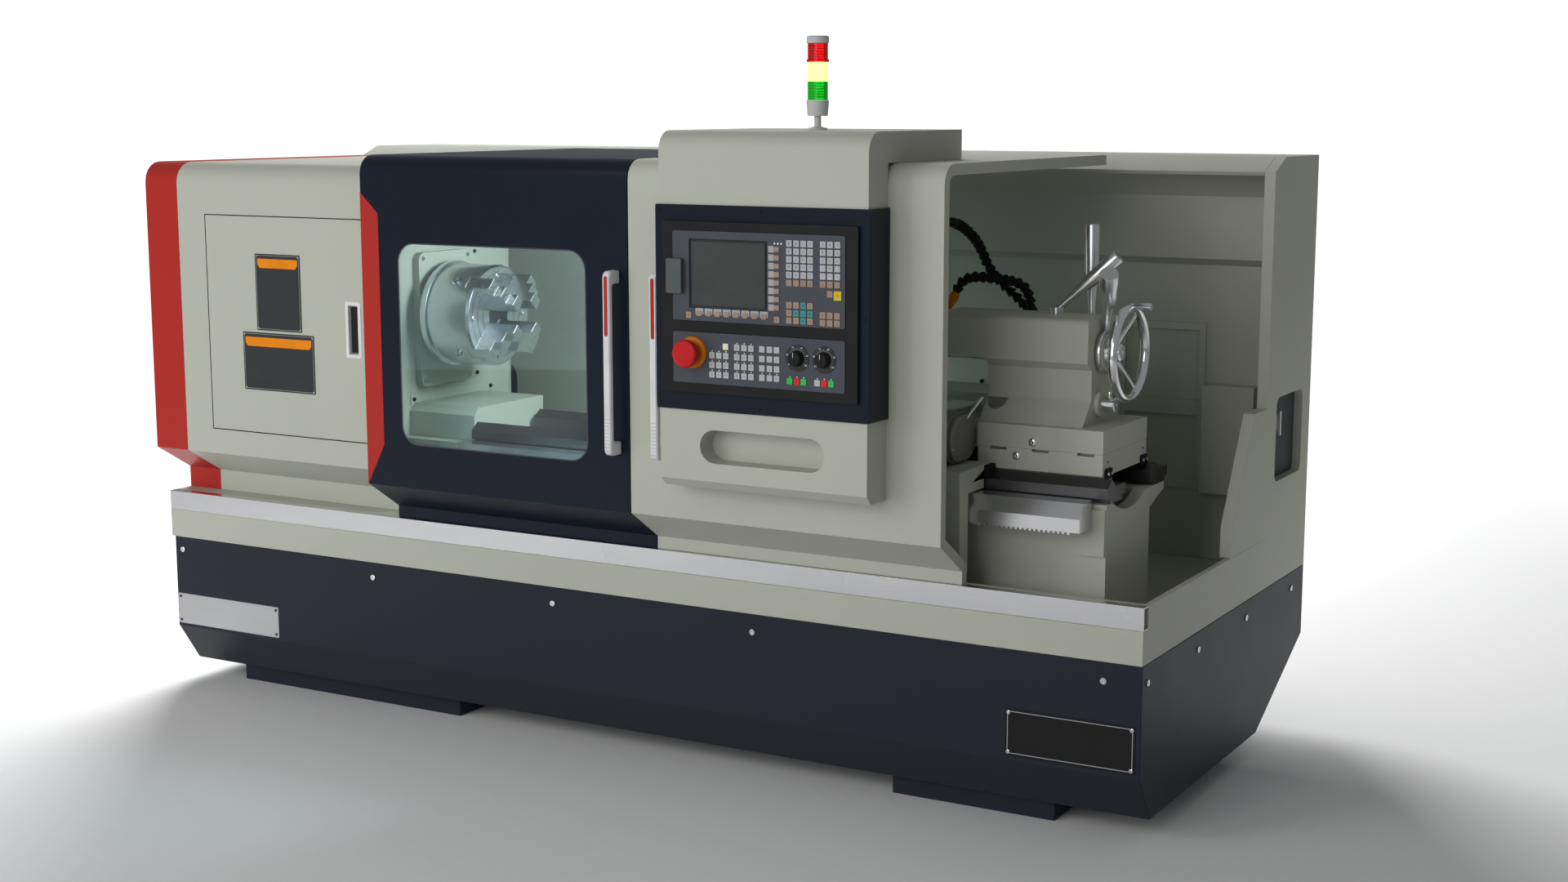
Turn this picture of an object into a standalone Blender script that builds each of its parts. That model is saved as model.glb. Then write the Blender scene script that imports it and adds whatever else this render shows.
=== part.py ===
"""A flat-bed cnc turning lathe, one object for each sub-part. Metres, +Z up.

Sizes are measured from the tray's front left corner on the floor: X runs along the bed
to the right, Y from the operator to the back. The empty "machine" then moves the whole
lathe so that its origin is under the middle of its bounding box.
"""
import math

import bmesh
import bpy
from mathutils import Matrix, Vector

# Whole machine
LENGTH = 3.152
DEPTH = 1.324
SEAT = 0.0003
RUNNING_GAP = 0.0008
SHEET = 0.003
OVERRUN = 0.02
ROOT_SINK = 0.002
WELD = 0.00001
FLAT_ANGLE = math.radians(0.1)

# Base cabinet and its two plinths
BASE_INSET = 0.013
BASE_HEIGHT = 0.4582
BASE_BEND_HEIGHT = 0.178
BASE_TOE = 0.079
BASE_REAR_BEND_HEIGHT = 0.2547
BASE_REAR_TOE = 0.4074
PLINTH_HEIGHT = 0.0587
PLINTH_FRONT = 0.115
PLINTH_DEPTH = 0.765
LEFT_PLINTH_START = 0.173
LEFT_PLINTH_LENGTH = 0.843
RIGHT_PLINTH_START = 2.435
RIGHT_PLINTH_LENGTH = 0.454

# Chip tray and the front rail that the doors slide on
TRAY_HEIGHT = 0.1425
TRAY_FLOOR = 0.0215
TRAY_WALL = 0.015
PLATFORM_LENGTH = 0.90
RAIL_HEIGHT = 0.057
RAIL_DEPTH = 0.030

# Rear guard and its right end panel
GUARD_TOP = 1.634
GUARD_ROOF_DEPTH = 0.404
GUARD_CHAMFER_DEPTH = 0.092
GUARD_CHAMFER_HEIGHT = 0.0385
GUARD_LIP = 0.0105
GUARD_CEILING_DEPTH = 0.274
GUARD_SLOPE_DEPTH = 0.204
GUARD_SLOPE_DROP = 0.114
GUARD_SLOPE_RISE = 0.175
GUARD_FOLD_DROP = 0.020
BACK_WALL_DEPTH = 0.164
END_PANEL_THICKNESS = 0.030
GUSSET_TOE_REACH = 0.2785
GUSSET_TOP_REACH = 0.114
GUSSET_TOE_HEIGHT = 0.081
GUSSET_HEIGHT = 0.3605
POCKET_FRONT = 1.005
POCKET_WIDTH = 0.245
POCKET_BOTTOM = 0.747
POCKET_HEIGHT = 0.234
POCKET_RADIUS = 0.025
POCKET_DEPTH = 0.025
ISOLATOR_Y = 1.055
ISOLATOR_Z = 0.905
ISOLATOR_BASE_RADIUS = 0.026
ISOLATOR_BASE_HEIGHT = 0.010
ISOLATOR_GRIP_WIDTH = 0.010
ISOLATOR_GRIP_HEIGHT = 0.012
ISOLATOR_GRIP_REACH = 0.034
WALL_FRAME_START = 2.634
WALL_FRAME_WIDTH = 0.262
WALL_FRAME_BOTTOM = 0.68
WALL_FRAME_HEIGHT = 0.48
WALL_FRAME_PROUD = 0.006
WALL_FRAME_RIM = 0.022
WALL_FRAME_MIDDLE_SHARE = 0.49
WALL_PANEL_RECESS = 0.012
WALL_BOX_START = 2.905
WALL_BOX_WIDTH = 0.150
WALL_BOX_BOTTOM = 0.68
WALL_BOX_HEIGHT = 0.31
WALL_BOX_PROUD = 0.055

# Bed casting, its two ways and the rack bar along its front
BED_END = 2.980
BED_START = 0.165
BED_FRONT = 0.189
BED_WIDTH = 0.304
BED_TOP = 0.800
BED_WALL = 0.041
BED_END_WALL = 0.034
BED_CHANNEL_DEPTH = 0.055
BED_POCKET_DEPTH = 0.230
BED_POCKETS = 7
BED_RIB = 0.022
BED_SCOOP_DEPTH = 0.030
BED_SHELF_REACH = 0.105
BED_SHELF_HEIGHT = 0.018
BED_SHELF_DROP = 0.035
BED_PAD_LENGTH = 0.067
BED_PAD_HEIGHT = 0.129
BED_PAD_PROUD = 0.008
BED_FOOT_HEIGHT = 0.020
BED_FOOT_REACH = 0.030
WAY_START = 1.020
WAY_FRONT = 0.195
WAY_WIDTH = 0.120
WAY_HEIGHT = 0.060
WAY_FLAT_HEIGHT = 0.039
WAY_PEAK = 0.030
WAY_VALLEY = 0.054
WAY_UNDERCUT = 0.012
WAY_UNDERCUT_REACH = 0.020
WAY_SPACING = 0.305
RACK_BEAM_FRONT = 0.100
RACK_BEAM_BOTTOM = 0.742
RACK_BEAM_FACE = 0.034
RACK_BEAM_HEIGHT = 0.070
RACK_BEAM_CHAMFER = 0.024
RACK_END = 2.945
RACK_MODULE = 0.004
RACK_FACE_SETBACK = 0.012
RACK_FACE_WIDTH = 0.030
RACK_END_MARGIN = 0.030

# Spindle line
SPINDLE_DEPTH = 0.387
SPINDLE_HEIGHT = 1.155
ROUND_STEPS = 32
SCOOP_STEPS = 64
SMALL_STEPS = 16

# Headstock casting
HEADSTOCK_START = 0.165
HEADSTOCK_FACE = 0.760
HEADSTOCK_FRONT = 0.055
HEADSTOCK_MOTOR_GAP = 0.050
HEADSTOCK_TOP = 1.420
HEADSTOCK_CORNER = 0.055
NOSE_PLATE_WIDTH = 0.245
NOSE_PLATE_HEIGHT = 0.400
NOSE_PLATE_DROP = 0.015
NOSE_PLATE_THICKNESS = 0.025
HEADSTOCK_BORE = 0.1206
FOOT_BLOCK_LENGTH = 0.240
FOOT_BLOCK_FRONT = 0.235
FOOT_BLOCK_DEPTH = 0.340
FOOT_BLOCK_HEIGHT = 0.095
FOOT_BLOCK_SLOPE = 0.022

# Headstock guard, its red end cover, its door and the door's latch
HOUSE_FRONT = -0.0434
HOUSE_TOE = 0.0874
HOUSE_TOE_HEIGHT = 0.0625
HOUSE_BELLY_HEIGHT = 0.141
HOUSE_DROP = 0.030
HOUSE_RADIUS = 0.060
HOUSE_LENGTH = 0.880
HOUSE_FLANGE = 0.030
END_COVER_LENGTH = 0.1275
END_COVER_REAR_GAP = 0.041
END_COVER_REAR_DROP = 0.020
ACCESS_START = 0.238
ACCESS_WIDTH = 0.634
ACCESS_BOTTOM = 0.819
ACCESS_HEIGHT = 0.633
ACCESS_FLANGE = 0.018
LATCH_START = 0.775
LATCH_WIDTH = 0.036
LATCH_BOTTOM = 1.070
LATCH_HEIGHT = 0.140
LATCH_CUP_DEPTH = 0.014
LATCH_LEVER_THICKNESS = 0.008
LATCH_LEVER_MARGIN = 0.005

# Sliding doors
DOOR_FRONT = -0.114
DOOR_TOE = 0.0112
DOOR_TOE_HEIGHT = 0.034
DOOR_BELLY_HEIGHT = 0.1166
DOOR_RISE = 0.032
DOOR_RADIUS = 0.052
DOOR_FLANGE = 0.028
DOOR_START = 0.893
LEFT_DOOR_WIDTH = 0.884
DOOR_GAP = 0.003
RIGHT_DOOR_WIDTH = 0.8945
WINDOW_START = 1.018
WINDOW_WIDTH = 0.628
WINDOW_BOTTOM = 0.8395
WINDOW_HEIGHT = 0.560
WINDOW_RADIUS = 0.055
PANE_LAP = 0.018
PANE_THICKNESS = 0.006
HANDLE_WIDTH = 0.022
HANDLE_LENGTH = 0.480
HANDLE_REACH = 0.050
HANDLE_BAR = 0.016
HANDLE_LEG = 0.034
HANDLE_BOTTOM = 0.872
LEFT_HANDLE_START = 1.731
RIGHT_HANDLE_START = 1.8735

# Control housing on the right door
HOUSING_START = 1.9394
HOUSING_WIDTH = 0.586
HOUSING_REACH = 0.100
HOUSING_ROOF_HEIGHT = 0.075
HOUSING_RADIUS = 0.050
HOUSING_BOTTOM = 0.8215
HOUSING_CHAMFER = 0.022
HOUSING_ARM_DEPTH = 0.411
RECESS_WIDTH = 0.354
RECESS_HEIGHT = 0.084
RECESS_CENTRE_HEIGHT = 0.932
RECESS_DEPTH = 0.060
RECESS_STEPS = 8
SURROUND_MARGIN = 0.007
SURROUND_BOTTOM = 1.022
SURROUND_HEIGHT = 0.509
SURROUND_THICKNESS = 0.006
SURROUND_RADIUS = 0.008
BEZEL_WIDTH = 0.549
BEZEL_BOTTOM = 1.0675
BEZEL_HEIGHT = 0.4235
BEZEL_THICKNESS = 0.010
UNIT_WIDTH = 0.483
DISPLAY_BOTTOM = 1.2472
DISPLAY_HEIGHT = 0.2208
PANEL_BOTTOM = 1.0925
PANEL_HEIGHT = 0.1265
UNIT_THICKNESS = 0.012
UNIT_RADIUS = 0.004
SCREEN_RECESS = 0.002
KEY_RISE = 0.0015
KEY_WIDTH = 0.0150
KEY_HEIGHT = 0.0150
SOFT_KEY_WIDTH = 0.0150
SOFT_KEY_HEIGHT = 0.0120
SHIFT_KEY_WIDTH = 0.020
SHIFT_KEY_HEIGHT = 0.022

# Shares of the display unit's width from its left edge and of its height from its top
SCREEN_SHARES = (0.098, 0.087, 0.558, 0.858)
SOFT_COLUMN_SHARE = 0.613
SOFT_COLUMN_FIRST_SHARE = 0.172
SOFT_COLUMN_LAST_SHARE = 0.808
SOFT_ROW_FIRST_SHARE = 0.160
SOFT_ROW_LAST_SHARE = 0.540
SOFT_ROW_SHARE = 0.915
SOFT_ROW_KEYS = 8
LETTER_COLUMN_SHARES = (0.686, 0.727, 0.767, 0.806)
NUMBER_COLUMN_SHARES = (0.877, 0.917, 0.958)
KEY_ROW_SHARES = (0.101, 0.187, 0.273, 0.356, 0.442, 0.528)
EDIT_KEY_SHARES = (0.917, 0.630)
SHIFT_KEY_SHARES = (0.960, 0.645)
CURSOR_ROW_SHARES = (0.770, 0.857, 0.938)
CORNER_ROW_SHARES = (0.863, 0.945)

# Shares of the machine panel's width from its left edge and of its height from its top
MODE_COLUMN_SHARES = (0.235, 0.276, 0.318)
MODE_ROW_SHARES = (0.432, 0.620, 0.806)
SINGLE_KEY_SHARES = (0.316, 0.250)
TOOL_COLUMN_SHARES = (0.383, 0.425, 0.466)
AXIS_COLUMN_SHARES = (0.530, 0.574, 0.615)
TALL_ROW_SHARES = (0.253, 0.439, 0.622, 0.804)
FEED_KEY_SHARES = (0.690, 0.731, 0.769)
SPEED_KEY_SHARES = (0.847, 0.886, 0.925)
START_ROW_SHARE = 0.830
ESTOP_SHARES = (0.120, 0.400)
FEED_DIAL_SHARES = (0.733, 0.383)
SPEED_DIAL_SHARES = (0.885, 0.383)
DIAL_RADIUS = 0.0325
DIAL_THICKNESS = 0.0012
KNOB_RADIUS = 0.019
KNOB_HEIGHT = 0.020
KNOB_GRIP_WIDTH = 0.009
KNOB_GRIP_HEIGHT = 0.008
KNOB_SHAFT_RADIUS = 0.003
KNOB_SHAFT_LENGTH = 0.006
COLLAR_RADIUS = 0.038
COLLAR_HEIGHT = 0.006
ESTOP_TRAVEL = 0.005
ESTOP_STEM_RADIUS = 0.015
ESTOP_STEM_LENGTH = 0.010
ESTOP_CAP_RADIUS = 0.0345
ESTOP_CAP_HEIGHT = 0.026
ESTOP_STEM_SINK = 0.006
USB_COVER_WIDTH = 0.044
USB_COVER_HEIGHT = 0.086
USB_COVER_THICKNESS = 0.014
USB_COVER_LEFT_SHARE = -0.024
USB_COVER_BOTTOM_SHARE = 0.70

# Stack light on the housing roof
STACK_Y = 0.070
POLE_RADIUS = 0.0088
POLE_HEIGHT = 0.034
STACK_FOOT_RADIUS = 0.024
STACK_FOOT_HEIGHT = 0.004
STACK_BASE_RADIUS = 0.028
STACK_BASE_NECK = 0.0255
STACK_BASE_HEIGHT = 0.039
LENS_RADIUS = 0.0255
LENS_HEIGHT = 0.0465
LENS_RING_RADIUS = 0.028
LENS_RING_HEIGHT = 0.007
CAP_HEIGHT = 0.018
STACK_STEPS = 24
KNOB_STEPS = 20

# Carriage: saddle, cross slide, turret and its motor
SADDLE_START = 1.950
SADDLE_END = 2.650
SADDLE_CLEARANCE = 0.006
FRONT_WING_REAR = 0.2297
REAR_WING_FRONT = 0.5460
REAR_WING_REAR = 0.700
SADDLE_BOTTOM = 0.8150
WING_THICKNESS = 0.0145
WEB_START = 2.200
WEB_END = 2.480
WEB_TOP = 0.930
APRON_START = 2.180
APRON_RACK_GAP = 0.005
APRON_BOTTOM = 0.615
NUT_START = 2.300
NUT_LENGTH = 0.150
NUT_DEPTH = 0.080
NUT_BOTTOM = 0.715
DRIVE_BOX_START = 2.220
DRIVE_BOX_END = 2.530
DRIVE_BOX_DEPTH = 0.170
DRIVE_BOX_TOP = 0.985
SCREW_RADIUS = 0.020
SCREW_Y = 0.672
SCREW_Z = 0.760
SCREW_START = 1.052
SCREW_END = 2.852
SCREW_BLOCK_LENGTH = 0.050
SCREW_BLOCK_WIDTH = 0.090
SCREW_BLOCK_HEIGHT = 0.080
SCREW_BLOCK_BORE = 0.0206
SERVO_LENGTH = 0.200
SERVO_WIDTH = 0.078
SLIDE_START = 2.220
SLIDE_END = 2.455
SLIDE_FRONT = 0.060
SLIDE_DEPTH = 0.540
SLIDE_THICKNESS = 0.042
DOVETAIL_HEIGHT = 0.014
DOVETAIL_WIDTH = 0.150
DOVETAIL_LEAN = 0.010
TURRET_X = 2.300
TURRET_Y = 0.175
TURRET_BASE_WIDTH = 0.150
TURRET_BASE_HEIGHT = 0.065
TURRET_WIDTH = 0.160
TURRET_HEIGHT = 0.125
TURRET_SLOT_HEIGHT = 0.034
TURRET_SLOT_DEPTH = 0.034
TURRET_SLOT_BOTTOM = 0.040
TURRET_PILLAR_RADIUS = 0.022
TURRET_PILLAR_HEIGHT = 0.018
MOTOR_FRONT = 0.090
MOTOR_WIDTH = 0.168
MOTOR_BOTTOM = 0.8765
MOTOR_HEIGHT = 0.130
MOTOR_END = 2.598
MOTOR_CORNER = 0.062
MOTOR_COVER_THICKNESS = 0.012
MOTOR_COVER_RIM = 0.006

# Coolant hoses: routes of their centre lines, chosen by hand
HOSE_RADIUS = 0.0125
HOSE_NECK_SHARE = 0.72
HOSE_LINK = 0.026
HOSE_CURVE_STEPS = 12
NOZZLE_LENGTH = 0.040
NOZZLE_TIP_RADIUS = 0.004
HIGH_HOSE_ROUTE = (
    (2.480, 0.845, 0.985), (2.490, 0.850, 1.080), (2.490, 0.850, 1.170), (2.462, 0.850, 1.222),
    (2.410, 0.842, 1.268), (2.372, 0.822, 1.318), (2.363, 0.785, 1.370), (2.364, 0.735, 1.406),
    (2.359, 0.670, 1.440), (2.361, 0.600, 1.457))
LOW_HOSE_ROUTE = (
    (2.505, 0.800, 0.985), (2.510, 0.802, 1.080), (2.515, 0.800, 1.180), (2.507, 0.786, 1.252),
    (2.492, 0.752, 1.286), (2.450, 0.690, 1.299), (2.422, 0.635, 1.306), (2.406, 0.585, 1.297),
    (2.400, 0.545, 1.275), (2.399, 0.500, 1.231))

# Tailstock
SOLE_START = 2.6105
SOLE_END = 2.950
SOLE_FRONT = 0.2335
SOLE_WIDTH = 0.3070
SOLE_HEIGHT = 0.0565
SOLE_PAD_WIDTH = 0.055
SOLE_NOTCH_LENGTH = 0.045
SOLE_NOTCH_DEPTH = 0.007
SOLE_NOTCH_SHARES = (0.10, 0.44, 0.80)
SLAB_HEIGHT = 0.058
COLUMN_START = 2.600
COLUMN_END = 2.882
BARREL_START = 2.450
BARREL_HALF_WIDTH = 0.098
BARREL_TOP = 0.087
BARREL_BOTTOM = 0.022
BARREL_RADIUS = 0.014
COLUMN_FRONT = 0.318
COLUMN_REAR = 0.462
COLUMN_SHOULDER = 0.040
COLUMN_FOOT_FRONT = 0.262
COLUMN_FOOT_REAR = 0.522
COLUMN_FOOT_HEIGHT = 0.062
END_CAP_RADIUS = 0.0475
END_CAP_LENGTH = 0.018
QUILL_RADIUS = 0.0375
QUILL_LENGTH = 0.330
QUILL_REACH = 0.050
QUILL_TAPER_RADIUS = 0.0155
QUILL_TAPER_END = 0.0125
QUILL_TAPER_DEPTH = 0.110
CLAMP_POCKET_RADIUS = 0.030
CLAMP_POCKET_DEPTH = 0.016
CLAMP_NUT_RADIUS = 0.017
CLAMP_NUT_HEIGHT = 0.014
CLAMP_NUT_SIDES = 6
CLAMP_SHAFT_RADIUS = 0.019
CLAMP_SHAFT_LENGTH = 0.038
CLAMP_SHAFT_Y = 0.365
CLAMP_SHAFT_Z = 1.025
CLAMP_BOSS_RADIUS = 0.033
CLAMP_BOSS_LENGTH = 0.012
CLAMP_PIN_RADIUS = 0.005
CLAMP_PIN_LENGTH = 0.014

# Handwheel and levers of the tailstock
WHEEL_RADIUS = 0.125
WHEEL_RIM_WIDTH = 0.026
WHEEL_RIM_DEPTH = 0.019
WHEEL_HUB_RADIUS = 0.030
WHEEL_HUB_LENGTH = 0.034
WHEEL_BOSS_RADIUS = 0.040
WHEEL_DISH = 0.040
WHEEL_SPOKES = 3
WHEEL_SPOKE_RADIUS = 0.0065
WHEEL_STEPS = 32
WHEEL_RIM_STEPS = 8
CRANK_RADIUS = 0.010
CRANK_LENGTH = 0.056
LEVER_TIP_RADIUS = 0.019
LEVER_NECK_RADIUS = 0.008
LEVER_GRIP_SHARE = 0.42
LEVER_HUB_RADIUS = 0.017
LEVER_HUB_HEIGHT = 0.016
LEVER_RING_WIDTH = 0.012
LEVER_RING_THICKNESS = 0.008
QUILL_LEVER_X = 2.735
QUILL_LEVER_Y = 0.440
QUILL_LEVER_REACH = (0.153, 0.030, 0.1417)
GEAR_LEVER_X = 2.891
GEAR_LEVER_REACH = (0.055, -0.130, 0.156)
BED_LEVER_X = 2.800
BED_LEVER_Y = 0.520
BED_LEVER_Z = 1.190
BED_LEVER_REACH = (-0.010, 0.015, 0.277)
BED_LEVER_BOSS_RADIUS = 0.022

# Chuck and its jaws
FLANGE_RADIUS = 0.100
FLANGE_THICKNESS = 0.024
BACKPLATE_RADIUS = 0.157
BACKPLATE_THICKNESS = 0.020
CHUCK_RADIUS = 0.150
CHUCK_THICKNESS = 0.150
CHUCK_CHAMFER = 0.006
CHUCK_BORE_RADIUS = 0.045
SPINDLE_RADIUS = 0.060
SPINDLE_BORE_RADIUS = 0.040
SPINDLE_START = 0.045
JAW_COUNT = 4
JAW_WIDTH = 0.040
JAW_INNER = 0.045
JAW_STEP_LENGTHS = (0.034, 0.034, 0.034)
JAW_STEP_HEIGHTS = (0.105, 0.080, 0.055)
JAW_SLOT_DEPTH = 0.030

# Main motor and belt drive under the end cover
MAIN_MOTOR_SETBACK = 0.210
MAIN_MOTOR_HEIGHT = 0.790
MAIN_MOTOR_START = 0.185
MAIN_MOTOR_LENGTH = 0.340
MAIN_MOTOR_WIDTH = 0.260
MAIN_MOTOR_CORNER = 0.060
MAIN_MOTOR_FOOT = 0.300
SHAFT_RADIUS = 0.019
PULLEY_START = 0.050
PULLEY_WIDTH = 0.055
BELT_WIDTH = 0.050
BELT_THICKNESS = 0.010
SPINDLE_PULLEY_RADIUS = 0.120
MOTOR_PULLEY_RADIUS = 0.060
PULLEY_LIP = 0.004

# Places that follow from the sizes above
PLINTH_SINK = BASE_HEIGHT / 4
TRAY_BOTTOM = BASE_HEIGHT + SEAT
TRAY_TOP = TRAY_BOTTOM + TRAY_HEIGHT
FLOOR_TOP = TRAY_BOTTOM + TRAY_FLOOR
DECK = TRAY_TOP + SEAT
GUARD_FRONT = DEPTH - GUARD_ROOF_DEPTH
GUARD_EDGE = GUARD_TOP - GUARD_CHAMFER_HEIGHT
BACK_WALL = DEPTH - BACK_WALL_DEPTH
GUARD_SLOPE_HEIGHT = GUARD_TOP - GUARD_SLOPE_DROP
GUARD_FOLD_HEIGHT = GUARD_SLOPE_HEIGHT - GUARD_SLOPE_RISE
HOUSE_TOP = GUARD_TOP - HOUSE_DROP
DOOR_TOP = HOUSE_TOP + DOOR_RISE
HOUSING_TOP = DOOR_TOP + HOUSING_ROOF_HEIGHT
END_COVER_REAR = BACK_WALL - END_COVER_REAR_GAP
END_COVER_REAR_TOP = GUARD_SLOPE_HEIGHT - END_COVER_REAR_DROP
MAIN_MOTOR_DEPTH = BACK_WALL - MAIN_MOTOR_SETBACK
HEADSTOCK_REAR = MAIN_MOTOR_DEPTH - MAIN_MOTOR_WIDTH / 2 - HEADSTOCK_MOTOR_GAP
END_PANEL_START = LENGTH - END_PANEL_THICKNESS
BED_REAR = BED_FRONT + BED_WIDTH
WAY_SEAT = BED_TOP + SEAT
WAY_FLAT = WAY_SEAT + WAY_FLAT_HEIGHT
WAY_CREST = WAY_SEAT + WAY_HEIGHT
DOOR_REAR = GUARD_FRONT - SEAT
LEFT_DOOR_END = DOOR_START + LEFT_DOOR_WIDTH
RIGHT_DOOR_START = LEFT_DOOR_END + DOOR_GAP
RIGHT_DOOR_END = RIGHT_DOOR_START + RIGHT_DOOR_WIDTH
HOUSING_BACK = DOOR_FRONT - SEAT
HOUSING_FRONT = DOOR_FRONT - HOUSING_REACH
HOUSING_MIDDLE = HOUSING_START + HOUSING_WIDTH / 2
SURROUND_FRONT = HOUSING_FRONT - SEAT - SURROUND_THICKNESS
UNIT_BACK = SURROUND_FRONT - SEAT
UNIT_FRONT = UNIT_BACK - UNIT_THICKNESS
UNIT_LEFT = HOUSING_MIDDLE - UNIT_WIDTH / 2
ESTOP_TOP = COLLAR_HEIGHT + ESTOP_TRAVEL + ESTOP_STEM_LENGTH + ESTOP_CAP_HEIGHT
FRONT_MOST = UNIT_FRONT - ESTOP_TOP
MIDDLE_DEPTH = (DEPTH + FRONT_MOST) / 2
SADDLE_FRONT = DOOR_TOE + DOOR_FLANGE + SADDLE_CLEARANCE
SADDLE_SEAT = WAY_CREST + SEAT
SLIDE_BOTTOM = WEB_TOP + SEAT
SLIDE_TOP = SLIDE_BOTTOM + SLIDE_THICKNESS
TURRET_BOTTOM = SLIDE_TOP + TURRET_BASE_HEIGHT + SEAT
SOLE_TOP = SADDLE_SEAT + SOLE_HEIGHT
SLAB_BOTTOM = SOLE_TOP + SEAT
SLAB_TOP = SLAB_BOTTOM + SLAB_HEIGHT
BARREL_CREST = SPINDLE_HEIGHT + BARREL_TOP
END_CAP_FACE = COLUMN_END + END_CAP_LENGTH
WHEEL_START = END_CAP_FACE + SEAT
FLANGE_START = HEADSTOCK_FACE + NOSE_PLATE_THICKNESS + SEAT
BACKPLATE_START = FLANGE_START + FLANGE_THICKNESS + SEAT
CHUCK_START = BACKPLATE_START + BACKPLATE_THICKNESS + SEAT
CHUCK_FACE = CHUCK_START + CHUCK_THICKNESS
STACK_BOTTOM = HOUSING_TOP + SEAT

# How an outline's own x, y and thickness lie in the machine
ALONG_X = (math.pi / 2, 0, math.pi / 2)
ALONG_Y = (math.pi / 2, 0, 0)
ALONG_Z = (0, 0, 0)
# How a turned piece's own axis lies
AXIS_RIGHT = (0, math.pi / 2, 0)
AXIS_FORWARD = (math.pi / 2, 0, 0)

for leftover in list(bpy.data.objects):
    bpy.data.objects.remove(leftover)

parts = bpy.data.collections.new("cnc_turning_lathe")
cutters = bpy.data.collections.new("cutters")
cutters.hide_render = True
bpy.context.scene.collection.children.link(parts)
bpy.context.scene.collection.children.link(cutters)
carriers = {}
finishes = {}


def finish(name, colour, roughness, metallic=0.0):
    """Keep a Principled material with one colour under a plain name."""
    material = bpy.data.materials.new(name)
    material.use_nodes = True
    shader = material.node_tree.nodes["Principled BSDF"]
    shader.inputs["Base Color"].default_value = (*colour, 1)
    shader.inputs["Roughness"].default_value = roughness
    shader.inputs["Metallic"].default_value = metallic
    finishes[name] = material


def carrier(name, place, parent=None):
    """An empty on a moving body's joint axis, which its pieces are parented to."""
    empty = bpy.data.objects.new("carrier_" + name, None)
    parts.objects.link(empty)
    place = Vector(place)
    if parent:
        empty.parent, origin = carriers[parent]
        empty.location = place - origin
    else:
        empty.location = place
    carriers[name] = (empty, place)


def put(name, mesh, place, turn, paint, body):
    """Link a mesh as a sub-part of a body, at a place in the machine's own sizes."""
    piece = bpy.data.objects.new(name, mesh)
    empty, origin = carriers[body]
    piece.parent = empty
    piece.location = Vector(place) - origin
    piece.rotation_euler = turn
    if paint:
        mesh.materials.append(finishes[paint])
        parts.objects.link(piece)
    else:
        cutters.objects.link(piece)
        piece.hide_render = True
        piece.display_type = "WIRE"
    return piece


def rounded(corners, closed=True, steps=5):
    """Outline points with the corners that carry a radius turned into arcs."""
    points = []
    count = len(corners)
    for index, corner in enumerate(corners):
        here = Vector(corner[:2])
        is_end = not closed and index in (0, count - 1)
        if len(corner) < 3 or is_end:
            points.append(here)
            continue
        before = (Vector(corners[index - 1][:2]) - here).normalized()
        after = (Vector(corners[(index + 1) % count][:2]) - here).normalized()
        half = before.angle(after) / 2
        centre = here + (before + after).normalized() * corner[2] / math.sin(half)
        first = here + before * corner[2] / math.tan(half) - centre
        sweep = first.angle_signed(here + after * corner[2] / math.tan(half) - centre)
        for step in range(steps + 1):
            points.append(centre + Matrix.Rotation(-sweep * step / steps, 2) @ first)
    return points


def rectangle(left, bottom, width, height, radius=None):
    """Corners of an upright rectangle, with one radius for all four."""
    right, top = left + width, bottom + height
    corners = [(left, bottom), (right, bottom), (right, top), (left, top)]
    return [(*corner, radius) for corner in corners] if radius else corners


def offset(points, distance):
    """The open line moved to its right by a distance, with mitred corners."""
    normals = []
    for here, there in zip(points, points[1:]):
        along = (there - here).normalized()
        normals.append(Vector((along.y, -along.x)))
    moved = []
    for index, point in enumerate(points):
        before = normals[max(index - 1, 0)]
        after = normals[min(index, len(normals) - 1)]
        middle = (before + after).normalized()
        moved.append(point + middle * distance / middle.dot(after))
    return moved


def flat_mesh(name, outlines, thickness):
    """A flat outline, with holes for the outlines after the first, as a closed mesh."""
    curve = bpy.data.curves.new(name, "CURVE")
    curve.dimensions = "2D"
    curve.fill_mode = "BOTH"
    curve.extrude = thickness / 2
    for outline in outlines:
        spline = curve.splines.new("POLY")
        spline.points.add(len(outline) - 1)
        for point, (x, y) in zip(spline.points, outline):
            point.co = (x, y, 0, 1)
        spline.use_cyclic_u = True
    return mesh_from_curve(name, curve)


def mesh_from_curve(name, curve):
    """The mesh that a curve makes, with its caps welded on."""
    guide = bpy.data.objects.new(name, curve)
    bpy.context.scene.collection.objects.link(guide)
    graph = bpy.context.evaluated_depsgraph_get()
    mesh = bpy.data.meshes.new_from_object(guide.evaluated_get(graph))
    bpy.data.objects.remove(guide)
    shape = bmesh.new()
    shape.from_mesh(mesh)
    bmesh.ops.remove_doubles(shape, verts=shape.verts, dist=WELD)
    bmesh.ops.dissolve_limit(shape, angle_limit=FLAT_ANGLE, verts=shape.verts, edges=shape.edges)
    shape.to_mesh(mesh)
    shape.free()
    mesh.materials.clear()
    return mesh


def slab(name, outlines, start, end, turn, paint, body, origin=(0, 0)):
    """A flat outline in the machine's sizes, thick from start to end along its turn."""
    shifted = [[(x - origin[0], y - origin[1]) for x, y in outline] for outline in outlines]
    mesh = flat_mesh(name, shifted, end - start)
    middle = (start + end) / 2
    if turn is ALONG_X:
        place = (middle, *origin)
    elif turn is ALONG_Y:
        place = (origin[0], middle, origin[1])
    else:
        place = (*origin, middle)
    return put(name, mesh, place, turn, paint, body)


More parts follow.
